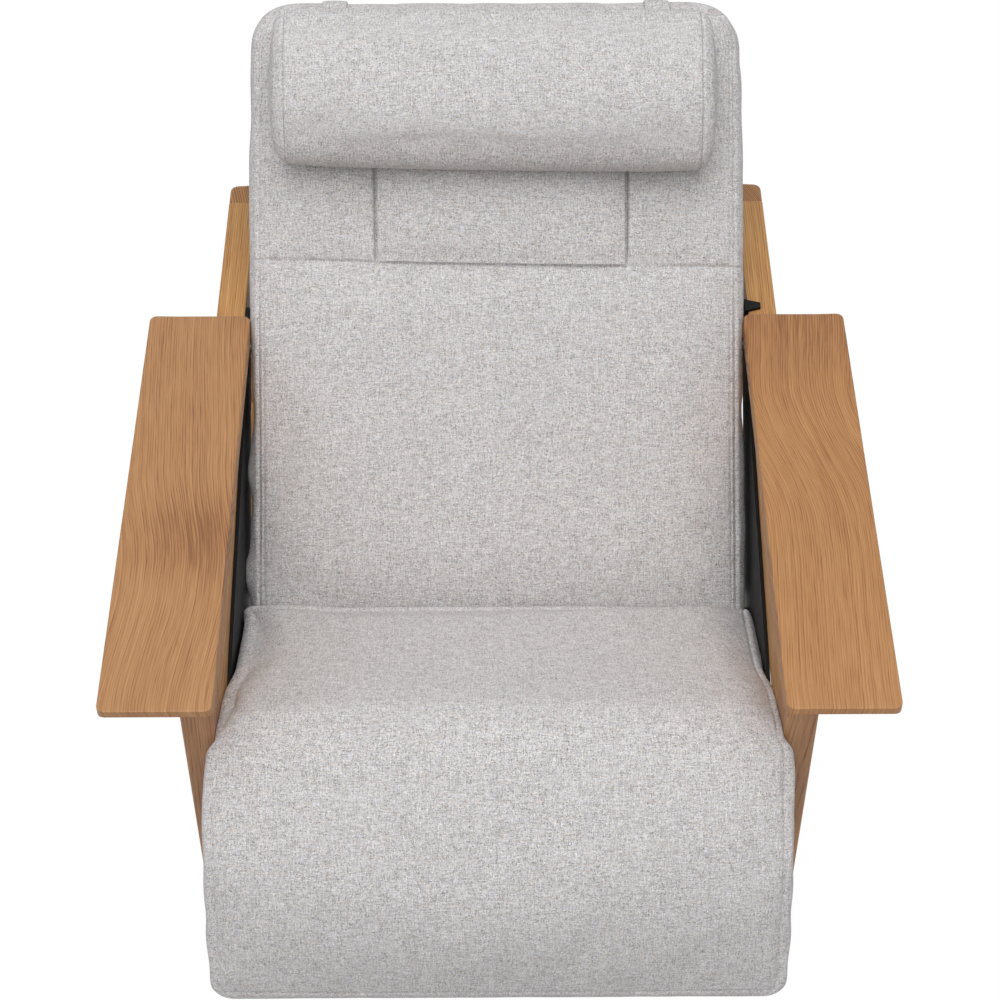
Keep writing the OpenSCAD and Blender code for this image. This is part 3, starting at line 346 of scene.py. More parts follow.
def press_seams(made, depth):
    """Sinks the surface where the seam value nears 1, and raises a lip beside it."""
    core, lip = 0.62, (0.28, 0.45, 0.2)
    mesh = made.data
    near = read(mesh.attributes["seam"].data, "value", 1)[:, 0]
    sink = smooth((near - core) / (1 - core)) - humps(near, [lip])
    set_coords(mesh, coords(mesh) - normals(mesh) * (sink * depth * MM)[:, None])


CLOTH_FRAMES = 20
CLOTH = {
    "quality": 5, "mass": 0.3, "tension_stiffness": 20, "compression_stiffness": 8, "shear_stiffness": 4,
    "bending_stiffness": 1.5, "use_pressure": True, "uniform_pressure_force": 4.0,
}
CLOTH_SINK = 0.4


def puff(made, held, cap, spread=0.012, rounds=4):
    """held is each point's pin weight, cap the most that a point may move, spread the share by which the
    cloth may grow, and rounds how often the moves are evened out. It may sink by CLOTH_SINK at most.
    """
    scene = bpy.context.scene
    run = bpy.data.objects.new(made.name + "_run", made.data.copy())
    scene.collection.objects.link(run)
    group = run.vertex_groups.new(name="held")
    for level in np.unique(np.round(held, 1)):
        group.add(np.nonzero(np.round(held, 1) == level)[0].tolist(), float(level), "REPLACE")
    cloth = run.modifiers.new("Cloth", "CLOTH")
    for setting, value in CLOTH.items():
        setattr(cloth.settings, setting, value)
    cloth.settings.shrink_min = -spread
    cloth.settings.effector_weights.gravity = 0
    cloth.settings.vertex_group_mass = "held"
    cloth.collision_settings.use_collision = False
    cloth.point_cache.frame_start = 1
    cloth.point_cache.frame_end = CLOTH_FRAMES
    for step in range(CLOTH_FRAMES):
        scene.frame_set(step + 1)
    filled = coords(run.evaluated_get(bpy.context.evaluated_depsgraph_get()).data)
    scene.frame_set(1)
    before = coords(made.data)
    moved = filled - before
    outward = normals(made.data)
    sunk = np.minimum((moved * outward).sum(1) + CLOTH_SINK * MM, 0)
    moved -= outward * sunk[:, None]
    size = np.linalg.norm(moved, axis=1, keepdims=True)
    moved *= np.minimum(1, cap * MM / np.maximum(size, 1e-9))
    edges = np.zeros(len(made.data.edges) * 2, np.int32)
    made.data.edges.foreach_get("vertices", edges)
    a, b = edges[0::2], edges[1::2]
    degree = np.bincount(edges, minlength=len(before))[:, None]
    for _ in range(rounds):
        total = np.zeros_like(moved)
        np.add.at(total, a, moved[b])
        np.add.at(total, b, moved[a])
        moved = 0.5 * moved + 0.5 * total / degree
    set_coords(made.data, before + moved)
    bpy.data.meshes.remove(run.data)


def dressed(made, body, slot, material, *nodes):
    """Gives a piece its material, its body and the CAD nodes that it stands for. slot is not used."""
    made.data.materials.clear()
    made.data.materials.append(material)
    if body:
        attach(made, body)
    if nodes:
        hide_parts(*nodes)


# ---- materials

def srgb(red, green, blue):
    """Linear colour of 0 to 255 screen levels."""
    levels = np.array([red, green, blue]) / 255
    linear = np.where(levels <= 0.04045, levels / 12.92, ((levels + 0.055) / 1.055) ** 2.4)
    return (*linear.tolist(), 1.0)


class Value:
    """A number in a node tree. Arithmetic on it adds Math nodes."""

    def __init__(self, graph, socket):
        self.graph, self.socket = graph, socket

    def do(self, operation, *others):
        return self.graph.math(operation, self, *others)

    def __add__(self, other):
        return self.do("ADD", other)

    def __sub__(self, other):
        return self.do("SUBTRACT", other)

    def __rsub__(self, other):
        return self.graph.math("SUBTRACT", other, self)

    def __mul__(self, other):
        return self.do("MULTIPLY", other)

    def __truediv__(self, other):
        return self.do("DIVIDE", other)


class Graph:
    """Node tree of a material or a world, built one call a node."""

    def __init__(self, owner):
        self.owner = owner
        owner.use_nodes = True
        self.tree = owner.node_tree
        self.tree.nodes.clear()

    def node(self, kind, inputs, **settings):
        made = self.tree.nodes.new("ShaderNode" + kind)
        for name, value in settings.items():
            setattr(made, name, value)
        for name, value in inputs.items():
            value = value.socket if isinstance(value, Value) else value
            if isinstance(value, bpy.types.NodeSocket):
                self.tree.links.new(value, made.inputs[name])
            else:
                made.inputs[name].default_value = value
        return made.outputs

    def math(self, operation, *terms):
        return Value(self, self.node("Math", dict(enumerate(terms)), operation=operation)[0])

    def scaled(self, vector, factors):
        return self.node("VectorMath", {0: vector, 1: factors}, operation="MULTIPLY")[0]

    def split(self, vector):
        return [Value(self, socket) for socket in self.node("SeparateXYZ", {0: vector})]

    def join(self, x, y, z=0.0):
        return self.node("CombineXYZ", {0: x, 1: y, 2: z})[0]

    def noise(self, vector, scale, detail=2.0, roughness=0.5):
        inputs = {"Vector": vector, "Scale": scale, "Detail": detail, "Roughness": roughness}
        return Value(self, self.node("TexNoise", inputs)[0])

    def grain(self, x, y, z=0.0, detail=2.0):
        """Noise over coordinates that already run at their own rates."""
        return self.noise(self.join(x, y, z), 1.0, detail)

    def white(self, x, y):
        return Value(self, self.node("TexWhiteNoise", {"Vector": self.join(x, y)}, noise_dimensions="2D")[0])

    def ramp(self, value, stops, light=(1.0, 1.0, 1.0)):
        """Colour of a value by its stops, in screen levels, each times the light."""
        outputs = self.node("ValToRGB", {0: value})
        elements = outputs[0].node.color_ramp.elements
        while len(elements) < len(stops):
            elements.new(0.5)
        for element, (place, rgb) in zip(elements, stops):
            element.position = place
            element.color = srgb(*(share * level for share, level in zip(light, rgb)))
        return outputs[0]

    def span(self, value, low, high, to_low=0.0, to_high=1.0):
        inputs = {0: value, 1: low, 2: high, 3: to_low, 4: to_high}
        return Value(self, self.node("MapRange", inputs, interpolation_type="SMOOTHSTEP")[0])

    def mix(self, factor, a, b, blend_type="MIX"):
        return self.node("Mix", {0: factor, 6: a, 7: b}, data_type="RGBA", blend_type=blend_type)[2]

    def bump(self, height, distance, strength):
        return self.node("Bump", {"Height": height, "Distance": distance, "Strength": strength})[0]

    def finish(self, **inputs):
        named = {name.replace("_", " "): value for name, value in inputs.items()}
        self.node("OutputMaterial", {0: self.node("BsdfPrincipled", named)[0]})
        return self.owner


def material_graph(name):
    return Graph(bpy.data.materials.new(name))


THREAD = 0.70 * MM
# Yarn shades by level, and the tints of its flecks
MELANGE = [(0.0, (140, 134, 134)), (0.16, (181, 176, 175)), (0.4, (208, 204, 204)),
           (0.65, (222, 219, 219)), (0.88, (236, 234, 235)), (1.0, (252, 250, 251))]
WARM, COOL = (1.0, 0.935, 0.855, 1.0), (0.865, 0.925, 1.0, 1.0)
# Painted shade for the dark lines in the seams' creases and in the flap's slits
SEAM_PAINTED_SHADE = srgb(92, 86, 84)
WARP_LENGTH, WEFT_LENGTH, RUN_LENGTH = 2.5, 2.0, 4.4


def threads(graph, across, along, length, seed):
    """Yarns numbered across and running along: their number, and the level and hue of each stretch.

    A stretch has the given length in threads. Longer runs, RUN_LENGTH stretches long, shift its level.
    """
    index = across.do("FLOOR")
    start = graph.white(index, seed)
    stretch = (start.do("MULTIPLY_ADD", 17.0, along) / length).do("FLOOR")
    run = (start.do("MULTIPLY_ADD", 29.0, along) / (RUN_LENGTH * length)).do("FLOOR")
    tint = graph.white(index, run + (seed + 0.71))
    level = (tint - 0.5) * 0.55 + (graph.white(index, stretch + seed) * 0.85 + 0.075)
    return index, level, graph.white(index, stretch + (seed + 0.37))


def upholstery(name):
    """Grey melange in plain weave, laid by the weave map."""
    graph = material_graph(name)
    across, along, _ = graph.split(graph.node("UVMap", {}, uv_map="weave")[0])
    flat = graph.join(across, along)
    u, v = across / THREAD, along / THREAD
    warp, warp_level, warp_hue = threads(graph, u, v, WARP_LENGTH, 3.0)
    weft, weft_level, weft_hue = threads(graph, v, u, WEFT_LENGTH, 11.0)
    over = (warp + weft).do("FLOORED_MODULO", 2.0)
    cloud = graph.noise(flat, 60.0)
    level = warp_level * (1.0 - over) + weft_level * over + (cloud - 0.5) * 0.10
    hue = warp_hue * (1.0 - over) + weft_hue * over
    colour = graph.mix(1.0, graph.ramp(level, MELANGE), graph.mix(hue, WARM, COOL), "MULTIPLY")
    # Painted shade along the seams and slits, darkest where the seam value nears 1
    near = graph.node("Attribute", {}, attribute_name="seam")["Fac"]
    colour = graph.mix(graph.span(near, 0.86, 0.97) * 0.5, colour, SEAM_PAINTED_SHADE)
    crown_u, crown_v = ((place * math.pi).do("SINE").do("ABSOLUTE") for place in (u, v))
    fuzz = graph.noise(flat, 2600.0, 2.0, 0.6)
    height = crown_u * crown_v + level * 0.8 + fuzz * 0.4
    return graph.finish(
        Base_Color=colour, Roughness=0.95, Normal=graph.bump(height, 0.3 * MM, 0.35),
        Sheen_Weight=0.12, Sheen_Roughness=0.6, Specular_IOR_Level=0.2,
    )


# Wood shades by tone, the rings' pitch, and how far they wander slowly and in ripples
OAK = [(0.40, (198, 153, 105)), (0.67, (182, 136, 90)), (0.90, (167, 120, 76)), (1.18, (140, 95, 59))]
PORE_SHADE = srgb(122, 82, 56)
RING, DRIFT, RIPPLE = 2.5 * MM, 12 * MM, 2.4 * MM
KNOT_R, KNOT_TONE = 0.085, 0.24


def oak(name, axis, pith, seed, light=(1.0, 1.0, 1.0), swings=(), waves=1.0, darker=(0.0, 0.0, 1.0),
        knot=None, contrast=0.28):
    """Oak with its rings round a pith line that runs along the axis.

    pith is the line's place in the other two axes, and light multiplies the shades: a board's own tint, and
    painted light where it brightens the rails. waves scales the rings' wander. Each swing shifts the rings
    by an amount between two places along the grain, and darker does so with the tone. knot is the middle
    of a darker patch, across and along. contrast is that of the rings.
    """
    graph = material_graph(name)
    place = graph.split(graph.node("TexCoord", {})["Object"])
    along = place[axis]
    side, rise = (place[k] for k in range(3) if k != axis)
    shift = along + seed
    drift = graph.grain(shift * 2.6, side * 9.0, seed)
    ripple = graph.grain(shift * 14.0, side * 60.0, seed)
    offset = drift * (DRIFT * waves) + ripple * (RIPPLE * waves)
    for amount, start, end in swings:
        offset = offset + graph.span(along, start, end, 0.0, amount)
    dx = side - pith[0] + offset
    dz = rise - pith[1]
    radius = (dx * dx + dz * dz).do("SQRT")
    rings = graph.grain(radius * 70.0, seed) * 3.0 + radius / RING
    number = graph.white(rings.do("FLOOR"), seed)
    early = (1.0 - rings.do("FRACT")).do("POWER", 2.6)
    fine = graph.grain(radius * 1500.0, along * 28.0, seed)
    vessel = graph.grain(dx * 1900.0, along * 120.0, dz * 1900.0, detail=1.0)
    pores = graph.span(vessel, 0.60, 0.72) * (early * 0.8 + 0.2)
    broad = graph.grain(side * 26.0, along * 4.0, seed + 4.0, detail=3.0)
    tone = early * contrast + fine * 0.84 + number * 0.17 + broad * 0.34
    tone = tone + graph.span(along, darker[1], darker[2], 0.0, darker[0])
    if knot:
        off_side, off_along = side - knot[0], along - knot[1]
        away = (off_side * off_side + off_along * off_along).do("SQRT")
        tone = tone + graph.span(away, 0.0, KNOT_R, KNOT_TONE, 0.0)
    colour = graph.mix(pores * 0.34, graph.ramp(tone, OAK, light), PORE_SHADE)
    height = fine * 0.4 - (early * 0.35 + pores)
    return graph.finish(
        Base_Color=colour, Roughness=fine * 0.14 + 0.42, Normal=graph.bump(height, 0.12 * MM, 0.5),
        Specular_IOR_Level=0.35, Coat_Weight=0.08, Coat_Roughness=0.35,
    )


def speckled(name, colour, other, scale, roughness, bump, metallic=0.0, stretch=(1.0, 1.0, 1.0), **more):
    """Plain finish with a fine texture in its colour, gloss and relief."""
    graph = material_graph(name)
    place = graph.scaled(graph.node("TexCoord", {})["Object"], stretch)
    grain = graph.noise(place, scale, 3.0, 0.6)
    wear = graph.noise(place, scale / 40, 3.0)
    shade = graph.mix(graph.span(wear * 0.5 + grain * 0.5, 0.35, 0.65), srgb(*colour), srgb(*other))
    rough = wear * 0.16 + (grain * 0.1 + (roughness - 0.13))
    return graph.finish(Base_Color=shade, Roughness=rough, Metallic=metallic,
                        Normal=graph.bump(grain, bump * MM, 0.6), **more)


PLY_T = 1.5 * MM
PLY_FACE = [(0.3, (222, 190, 148)), (0.7, (196, 156, 112))]
PLY_EDGE = srgb(128, 88, 56)


def plywood(name, normal):
    """Birch plywood whose plies lie across the normal."""
    graph = material_graph(name)
    outputs = graph.node("TexCoord", {})
    depth, facing = (
        Value(graph, graph.node("VectorMath", {0: outputs[kind], 1: normal}, operation="DOT_PRODUCT")[1])
        for kind in ("Object", "Normal")
    )
    edge = graph.span(facing.do("ABSOLUTE"), 0.3, 0.7, 1.0, 0.0)
    ply = (depth / PLY_T).do("FLOOR").do("FLOORED_MODULO", 2.0)
    grain = graph.noise(graph.scaled(outputs["Object"], (9.0, 160.0, 160.0)), 1.0, 4.0, 0.6)
    colour = graph.mix(edge * ply * 0.55, graph.ramp(grain, PLY_FACE), PLY_EDGE)
    return graph.finish(Base_Color=colour, Roughness=0.6, Normal=graph.bump(grain, 0.1 * MM, 0.4))


# ---- side frames

def eased(low, high, radius, extra=()):
    """Stations of one side of a rounded box, close together in its rounding."""
    steps = radius * np.array([0.2, 0.45, 0.72, 1.0, 1.35])
    return stations(low, high, max(12.0, (high - low) / 14), steps, extra)


def wooden(node, material, low, high, radii=(EASE,) * 3, extra=((),) * 3, shape=None, corner=None, side=1):
    """Box of wood with eased edges in place of a CAD node, bent by shape, and mirrored for side -1.

    extra holds more stations for each axis, and corner tells the points of a well rounded upright edge.
    """
    points, quads, axes = lattice([eased(low[k], high[k], radii[k], extra[k]) for k in range(3)])
    at_points = np.array([radii] * len(points), float)
    if corner:
        at_points[corner(points), :2] = REAR_CORNER_R
    local = rounded(points, low, high, at_points)
    if shape:
        local = shape(local)
    local[:, 0] *= side
    dressed(piece_from(node + "_oak", local, quads, axes, points), "frame", "oak", material, node)


def woods():
    """Wood of each kind of piece. The armrests' grain follows the photograph's."""
    # The rails' shades are lifted above the oak's own tone, as painted light
    rail = oak("oak_rail", 1, (0.92, 0.60), 8.4, (1.085, 1.09, 1.01))
    return {
        "armrest_left": oak(
            "oak_arm_left", 1, (-0.62, 0.43), 1.3, (0.975, 0.965, 0.97), knot=(-0.298, -0.158),
            swings=[(-0.014, 0.17, -0.10), (-0.018, -0.06, -0.20), (0.014, -0.22, -0.37)]),
        "armrest_right": oak(
            "oak_arm_right", 1, (0.68, 0.46), 5.2, (0.995, 0.965, 0.93), darker=(0.20, -0.02, 0.16),
            swings=[(0.010, 0.17, 0.04), (-0.040, 0.05, -0.14), (0.008, -0.16, -0.37)]),
        "front_leg": oak("oak_upright", 2, (0.80, 0.62), 3.7, (0.99, 0.97, 1.02), waves=0.5),
        "rear_leg": oak("oak_rear_leg", 2, (0.80, 0.62), 3.7, (0.97, 0.945, 0.90), waves=0.5, contrast=0.95),
        "top_rail": rail,
        "lower_rail": rail,
        "cross_rail": oak("oak_cross", 0, (0.10, 0.05), 2.2, (0.95, 0.95, 0.95), waves=0.8),
    }


def side_frames(wood):
    """Both side frames, and the cross rails between them."""
    leg_low, leg_high = box_mm("front_leg_right")
    rail_low, rail_high = box_mm("top_rail_right")
    rear_low = box_mm("rear_leg_right")[0]
    arm_outer, leg_outer = ARM_HIGH[0], leg_high[0]

    def board(points):
        """Thins the armrest towards its front and outer edges from below."""
        x, y, z = points.T
        near = np.minimum(y - FRONT, arm_outer - x)
        thick = ARM_T - (ARM_T - ARM_EDGE_T) * np.clip(1 - near / ARM_BEVEL, 0, 1)
        return np.stack([x, y, ARM_TOP - (ARM_TOP - z) * thick / ARM_T], 1)

    def front_leg(points):
        """Leans the leg's front face back towards its foot."""
        x, y, z = points.T
        rake = (leg_high[2] - z) / (leg_high[2] - leg_low[2])
        keep = (leg_high[1] - y) / (leg_high[1] - leg_low[1])
        return np.stack([x, y + FRONT_LEG_RAKE * rake * keep, z], 1)

    def rear_leg(points):
        """Deepens the leg towards its foot, and leads its front face back below the bend."""
        x, y, z = points.T
        down = np.clip((leg_high[2] - z) / (leg_high[2] - GLIDE_T), 0, 1)
        step = REAR_LEG_STEP * np.clip((REAR_LEG_BEND_Z - z) / (REAR_LEG_BEND_Z - GLIDE_T), 0, 1)
        share = (y - rear_low[1]) / REAR_LEG_D
        depth = REAR_LEG_D + REAR_LEG_GROWS * down - step
        return np.stack([x, rear_low[1] + step + share * depth, z], 1)

    def top_rail(points):
        """Tapers the rail from below towards the rear."""
        x, y, z = points.T
        share = (y - rail_low[1]) / (rail_high[1] - rail_low[1])
        depth = RAIL_FRONT_H + (RAIL_REAR_H - RAIL_FRONT_H) * share
        return np.stack([x, y, FRAME_TOP - (FRAME_TOP - z) * depth / RAIL_FRONT_H], 1)

    def rear_corner(points):
        middle = (leg_low[0] + leg_outer) / 2
        return (points[:, 0] > middle) & (points[:, 1] > rear_low[1] + REAR_LEG_D / 2)

    def under_arm(y):
        """Highest corner of a piece that ends under the armrest at the depth y."""
        return np.array([leg_outer, y, FRAME_TOP])

    bevel = ARM_BEVEL + np.array([0, 2])
    rounding = np.array([REAR_CORNER_R, 6, 3, 1])
    rear_high = under_arm(rear_low[1] + REAR_LEG_D)
    bend = REAR_LEG_BEND_Z + np.array([-5, 0, 5])
    plans = {
        "armrest": (ARM_LOW, ARM_HIGH, {
            "radii": (ARM_CORNER_R, ARM_CORNER_R, ARM_FACE_R), "shape": board,
            "extra": (arm_outer - bevel, FRONT + bevel, ())}),
        "front_leg": (leg_low, under_arm(leg_high[1]), {"shape": front_leg}),
        "rear_leg": (rear_low, rear_high, {
            "shape": rear_leg, "corner": rear_corner,
            "extra": (leg_outer - rounding, rear_high[1] - rounding, bend)}),
        "top_rail": (rail_low, under_arm(rail_high[1]), {"shape": top_rail}),
        "lower_rail": (*box_mm("lower_rail_right"), {}),
    }
    for name, (low, high, more) in plans.items():
        for side, word in ((-1, "left"), (1, "right")):
            node = f"{name}_{word}"
            wooden(node, wood.get(node) or wood[name], low, high, side=side, **more)
    for node in ("front_cross_rail", "rear_cross_rail"):
        wooden(node, wood["cross_rail"], *box_mm(node))


# ---- backrest

# The cross seam's height at its ends, its slant, how far its middle hangs and its half length
SEAM_ENDS_U, SEAM_SLANT, SEAM_HANG, SEAM_HW = 370.3, 0.02, 3.2, 250


def back_half_width(u):
    over = np.maximum(0, u - (BACK_TOP - BACK_CORNER_R))
    return BACK_HW - BACK_CORNER_R + np.sqrt(np.maximum(0, BACK_CORNER_R ** 2 - over ** 2))


def cross_seam(x):
    """Height of the cross seam, which lies a little askew and bowed."""
    return SEAM_ENDS_U - SEAM_SLANT * x - SEAM_HANG * bulge(x / SEAM_HW, 2)


def seam_lean(x, u):
    """How far the cloth near the cross seam lies up with it."""
    return (cross_seam(x) - SEAM_U) * hump(u, SEAM_U, SEAM_REACH)


def back_seams(x, u, from_slit, front, facing):
    """Seam values of the back cushion: round its edge with a stitching, across it, and in its slits."""
    half = back_half_width(u)
    qx, qu = np.abs(x) - (BACK_HW - BACK_CORNER_R), u - (BACK_TOP - BACK_CORNER_R)
    corner = np.hypot(np.maximum(qx, 0), np.maximum(qu, 0)) + np.minimum(np.maximum(qx, qu), 0)
    outline = np.where(u > BACK_TOP - 80, corner - BACK_CORNER_R, np.abs(x) - half)
    higher = smooth((u - 300) / 60)
    edge = seam_value(np.abs(outline + SEAM_IN)) * front * (1 - 0.085 * higher)
    stitch = 0.93 * seam_value(np.abs(outline + SEAM_IN + STITCH_IN), 4.0) * front * (1 - 0.06 * higher)
    cross = seam_value(np.abs(u - cross_seam(x))) * facing * np.where(from_slit < 1, 0.915, 0.905)
    slits = seam_value(np.abs(from_slit - 0.4), 6.0) * facing * (u > FLAP_LOW - 1) * (u < FLAP_TOP)
    return edge, stitch, cross, slits


def back_cushion(material):
    """Back cushion with a crowned front, loose sides and a slit beside each edge of the flap."""
    low, high = (-BACK_HW, BACK_EDGE_W, BACK_LOW), (BACK_HW, BACK_REAR_W, BACK_TOP)
    edge = [0.6, 1.6, 3.2, 5.2, 7.6, 8.8, SEAM_IN, 11.2, 12.6, 14.5, 18.0]
    near = np.array([-7, -4, -2, -0.9, 0, 0.9, 2, 4, 7])
    slit = np.array([-5.0, -2.0, -0.6, 0.4, 1.4, 2.6, 5.0, 9.0])
    points, quads, axes = lattice([
        stations(low[0], high[0], 9.0, edge, FLAP_X + FLAP_HW + 1 + slit, FLAP_X - FLAP_HW - 1 + slit),
        np.array([BACK_EDGE_W, -38.5, -35, -31, -26, -21, -16, -12, -9.5, BACK_REAR_W]),
        stations(low[2], high[2], 9.0, edge, SEAM_U + near),
    ])
    front = points[:, 1] < BACK_MIDDLE_W
    x, w, u = rounded(points, low, high, np.where(front[:, None], [10.0, 15.0, 10.0], 3.0)).T
    depth = np.clip((BACK_REAR_W - w) / (BACK_REAR_W - BACK_EDGE_W), 0, 1)
    facing = smooth((BACK_FACE_W - points[:, 1]) / (BACK_FACE_W - BACK_EDGE_W))
    share = x / BACK_HW
    height = (2 * u - BACK_LOW - BACK_TOP) / (BACK_TOP - BACK_LOW)
    u = u + seam_lean(x, u) + slopes(u, [(1.2, 600, 45)])
    # Sides: drawn in towards the top, loose between the seams, and folded low down
    loose = 3.0 * bulge((w - BACK_MIDDLE_W) / 18, 2)
    folds = np.where(x < 0, humps(u, LEFT_FOLDS), humps(u, RIGHT_FOLDS)) - humps(u, ARM_PRESS)
    taper = np.where(x < 0, slopes(u, LEFT_TAPER), slopes(u, RIGHT_TAPER))
    x = x * (back_half_width(u) - taper) / BACK_HW
    out = loose * bulge(height, 8) + folds * hump(w, -26, 14) - 2.0 * bulge(height, 2)
    x = x + np.sign(x) * smooth((np.abs(share) - 0.93) / 0.07) * out
    # Front: crowned, raised beside the slits, which open upwards, and set back behind at the foot
    crown = BACK_CROWN * bulge(share, 4) * bulge(height, 8)
    from_slit = np.abs(x - FLAP_X) - FLAP_HW - 0.8
    above_flap_edge = u - FLAP_LOW
    opening = smooth(above_flap_edge / 110) * (u < FLAP_TOP + 20)
    x = x + np.sign(x - FLAP_X) * 0.9 * opening * hump(from_slit, 0.5, 6)
    raised = 2.6 * smooth((from_slit - 0.2) / 2.2) * (1 - smooth((from_slit - 12) / 70))
    heel = 11 * (1 - smooth((u - BACK_LOW) / 22))
    w = w - depth * crown - facing * raised * smooth(above_flap_edge / 14) - heel * (1 - depth)
    seams = back_seams(x, u, from_slit, front, facing)
    made = piece_from("back_cushion_cover", back(np.stack([x, w, u], 1)), quads, axes, points,
                      np.maximum.reduce(seams))
    edge_seam, _, cross, slits = seams
    held = np.maximum.reduce([
        np.where(points[:, 1] > -12, 1.0, 0.0), smooth((30 - u) / 20),
        pinned(edge_seam, 0.8), pinned(cross, 0.75, 0.55, 0.3), pinned(slits, 0.7),
    ])
    puff(made, held, 7.0)
    subdivided(made)
    press_seams(made, 1.5)
    dressed(made, "backrest", "upholstery", material, "back_cushion")
    return made


def front_of(made):
    """Function for the depth of a piece's front at places across and up the back."""
    local = (coords(made.data) / MM - PIN) @ BACK_AXES.T
    tree = BVHTree.FromPolygons(local.tolist(), [tuple(face.vertices) for face in made.data.polygons])
    rearwards = Vector((0, 1, 0))

    def depth(x, u):
        hits = (tree.ray_cast(Vector((a, -300, b)), rearwards)[0] for a, b in zip(x.tolist(), u.tolist()))
        return np.array([hit[1] if hit else BACK_EDGE_W for hit in hits])

    return depth


def flap(material, surface):
    """Shoulder flap that lies on the finished back cushion, thin at its lower edge."""
    low, high = (-FLAP_HW, 0, FLAP_LOW), (FLAP_HW, FLAP_T, FLAP_TOP)
    edge = [0.5, 1.2, 2.4, 4.0, 7.0]
    points, quads, axes = lattice([
        stations(low[0], high[0], 8.0, edge), np.array([0, 1.0, 2.4, FLAP_T]),
        stations(low[2], high[2], 8.0, edge),
    ])
    x, t, u = rounded(points, low, high, 1.8).T
    share, rise = x / FLAP_HW, (2 * u - FLAP_LOW - FLAP_TOP) / (FLAP_TOP - FLAP_LOW)
    x = x + FLAP_X
    thick = 0.22 + 0.78 * smooth((u - FLAP_LOW) / 16)
    swell = 1.3 * bulge(share, 6) * bulge(rise, 4)
    under = surface(x * 0.985, np.maximum(u, FLAP_LOW + 6)) - 0.4
    w = under - (FLAP_T - t) / FLAP_T * (3.9 * thick + swell)
    local = np.stack([x, w, u + seam_lean(x, u)], 1)
    made = piece_from("shoulder_flap_cover", back(local), quads, axes, points)
    subdivided(made)
    dressed(made, "backrest", "upholstery", material, "shoulder_flap")


def shell_cover(material):
    """Cloth band that wraps the back's sides and top behind the cushion."""
    thick, proud, r = 4.0, 3.0, BACK_CORNER_R
    turn = np.linspace(0, math.pi / 2, 10)
    arc = np.stack([BACK_HW - r + r * np.cos(turn), BACK_TOP - r + r * np.sin(turn)], 1)
    flank = np.array([(BACK_HW, u) for u in np.linspace(SHELL_LOW_U, BACK_TOP - r - 1, 44)])
    top = [(x, BACK_TOP) for x in np.linspace(BACK_HW - r - 1, -(BACK_HW - r - 1), 36)]
    half = np.concatenate([flank, arc])
    path = np.concatenate([half, top, half[::-1] * [-1, 1]])
    run, out = lengths(path), beside(path)
    low, high = (0, BACK_REAR_W + 0.4, 0), (run[-1], BACK_SHELL_W, thick)
    depth = stations(low[1], high[1], 8.0, [0.6, 1.5, 3, 5], high[1] - np.array([7, 9]))
    points, quads, axes = lattice([run, depth, np.array([0, 1.3, 2.7, thick])])
    l, w, t = rounded(points, low, high, 1.6).T
    place = follow(l, run, path)
    # The band swells and wanders low on its sides, but lies flat where the armrests pass the upright back
    free = smooth((place[:, 1] - 318) / 30)
    below = 1 - smooth((place[:, 1] - 490) / 90) * (np.abs(place[:, 0]) > BACK_HW - r)
    across = bulge((w - 33) / 41, 2) * below * free
    swell = proud * smooth(np.minimum(l, run[-1] - l) / 40) * across
    wander = 1.1 * np.sin(l / 31 + 0.7 * np.sin(l / 57)) * across
    away = follow(l, run, out)
    away /= np.linalg.norm(away, axis=1, keepdims=True)
    place = place + away * ((t - thick) + (swell + wander - 0.9 * (1 - free)) * t / thick)[:, None]
    local = np.stack([place[:, 0], w, place[:, 1]], 1)
    seam = seam_value(np.abs(w - (BACK_SHELL_W - 7)), 5.0) * (t > 2)
    made = piece_from("back_shell_cover", back(local), quads, axes, points, seam)
    subdivided(made)
    press_seams(made, 0.8)
    dressed(made, "backrest", "upholstery", material,
            "back_side_cover_left", "back_side_cover_right", "back_top_cover")


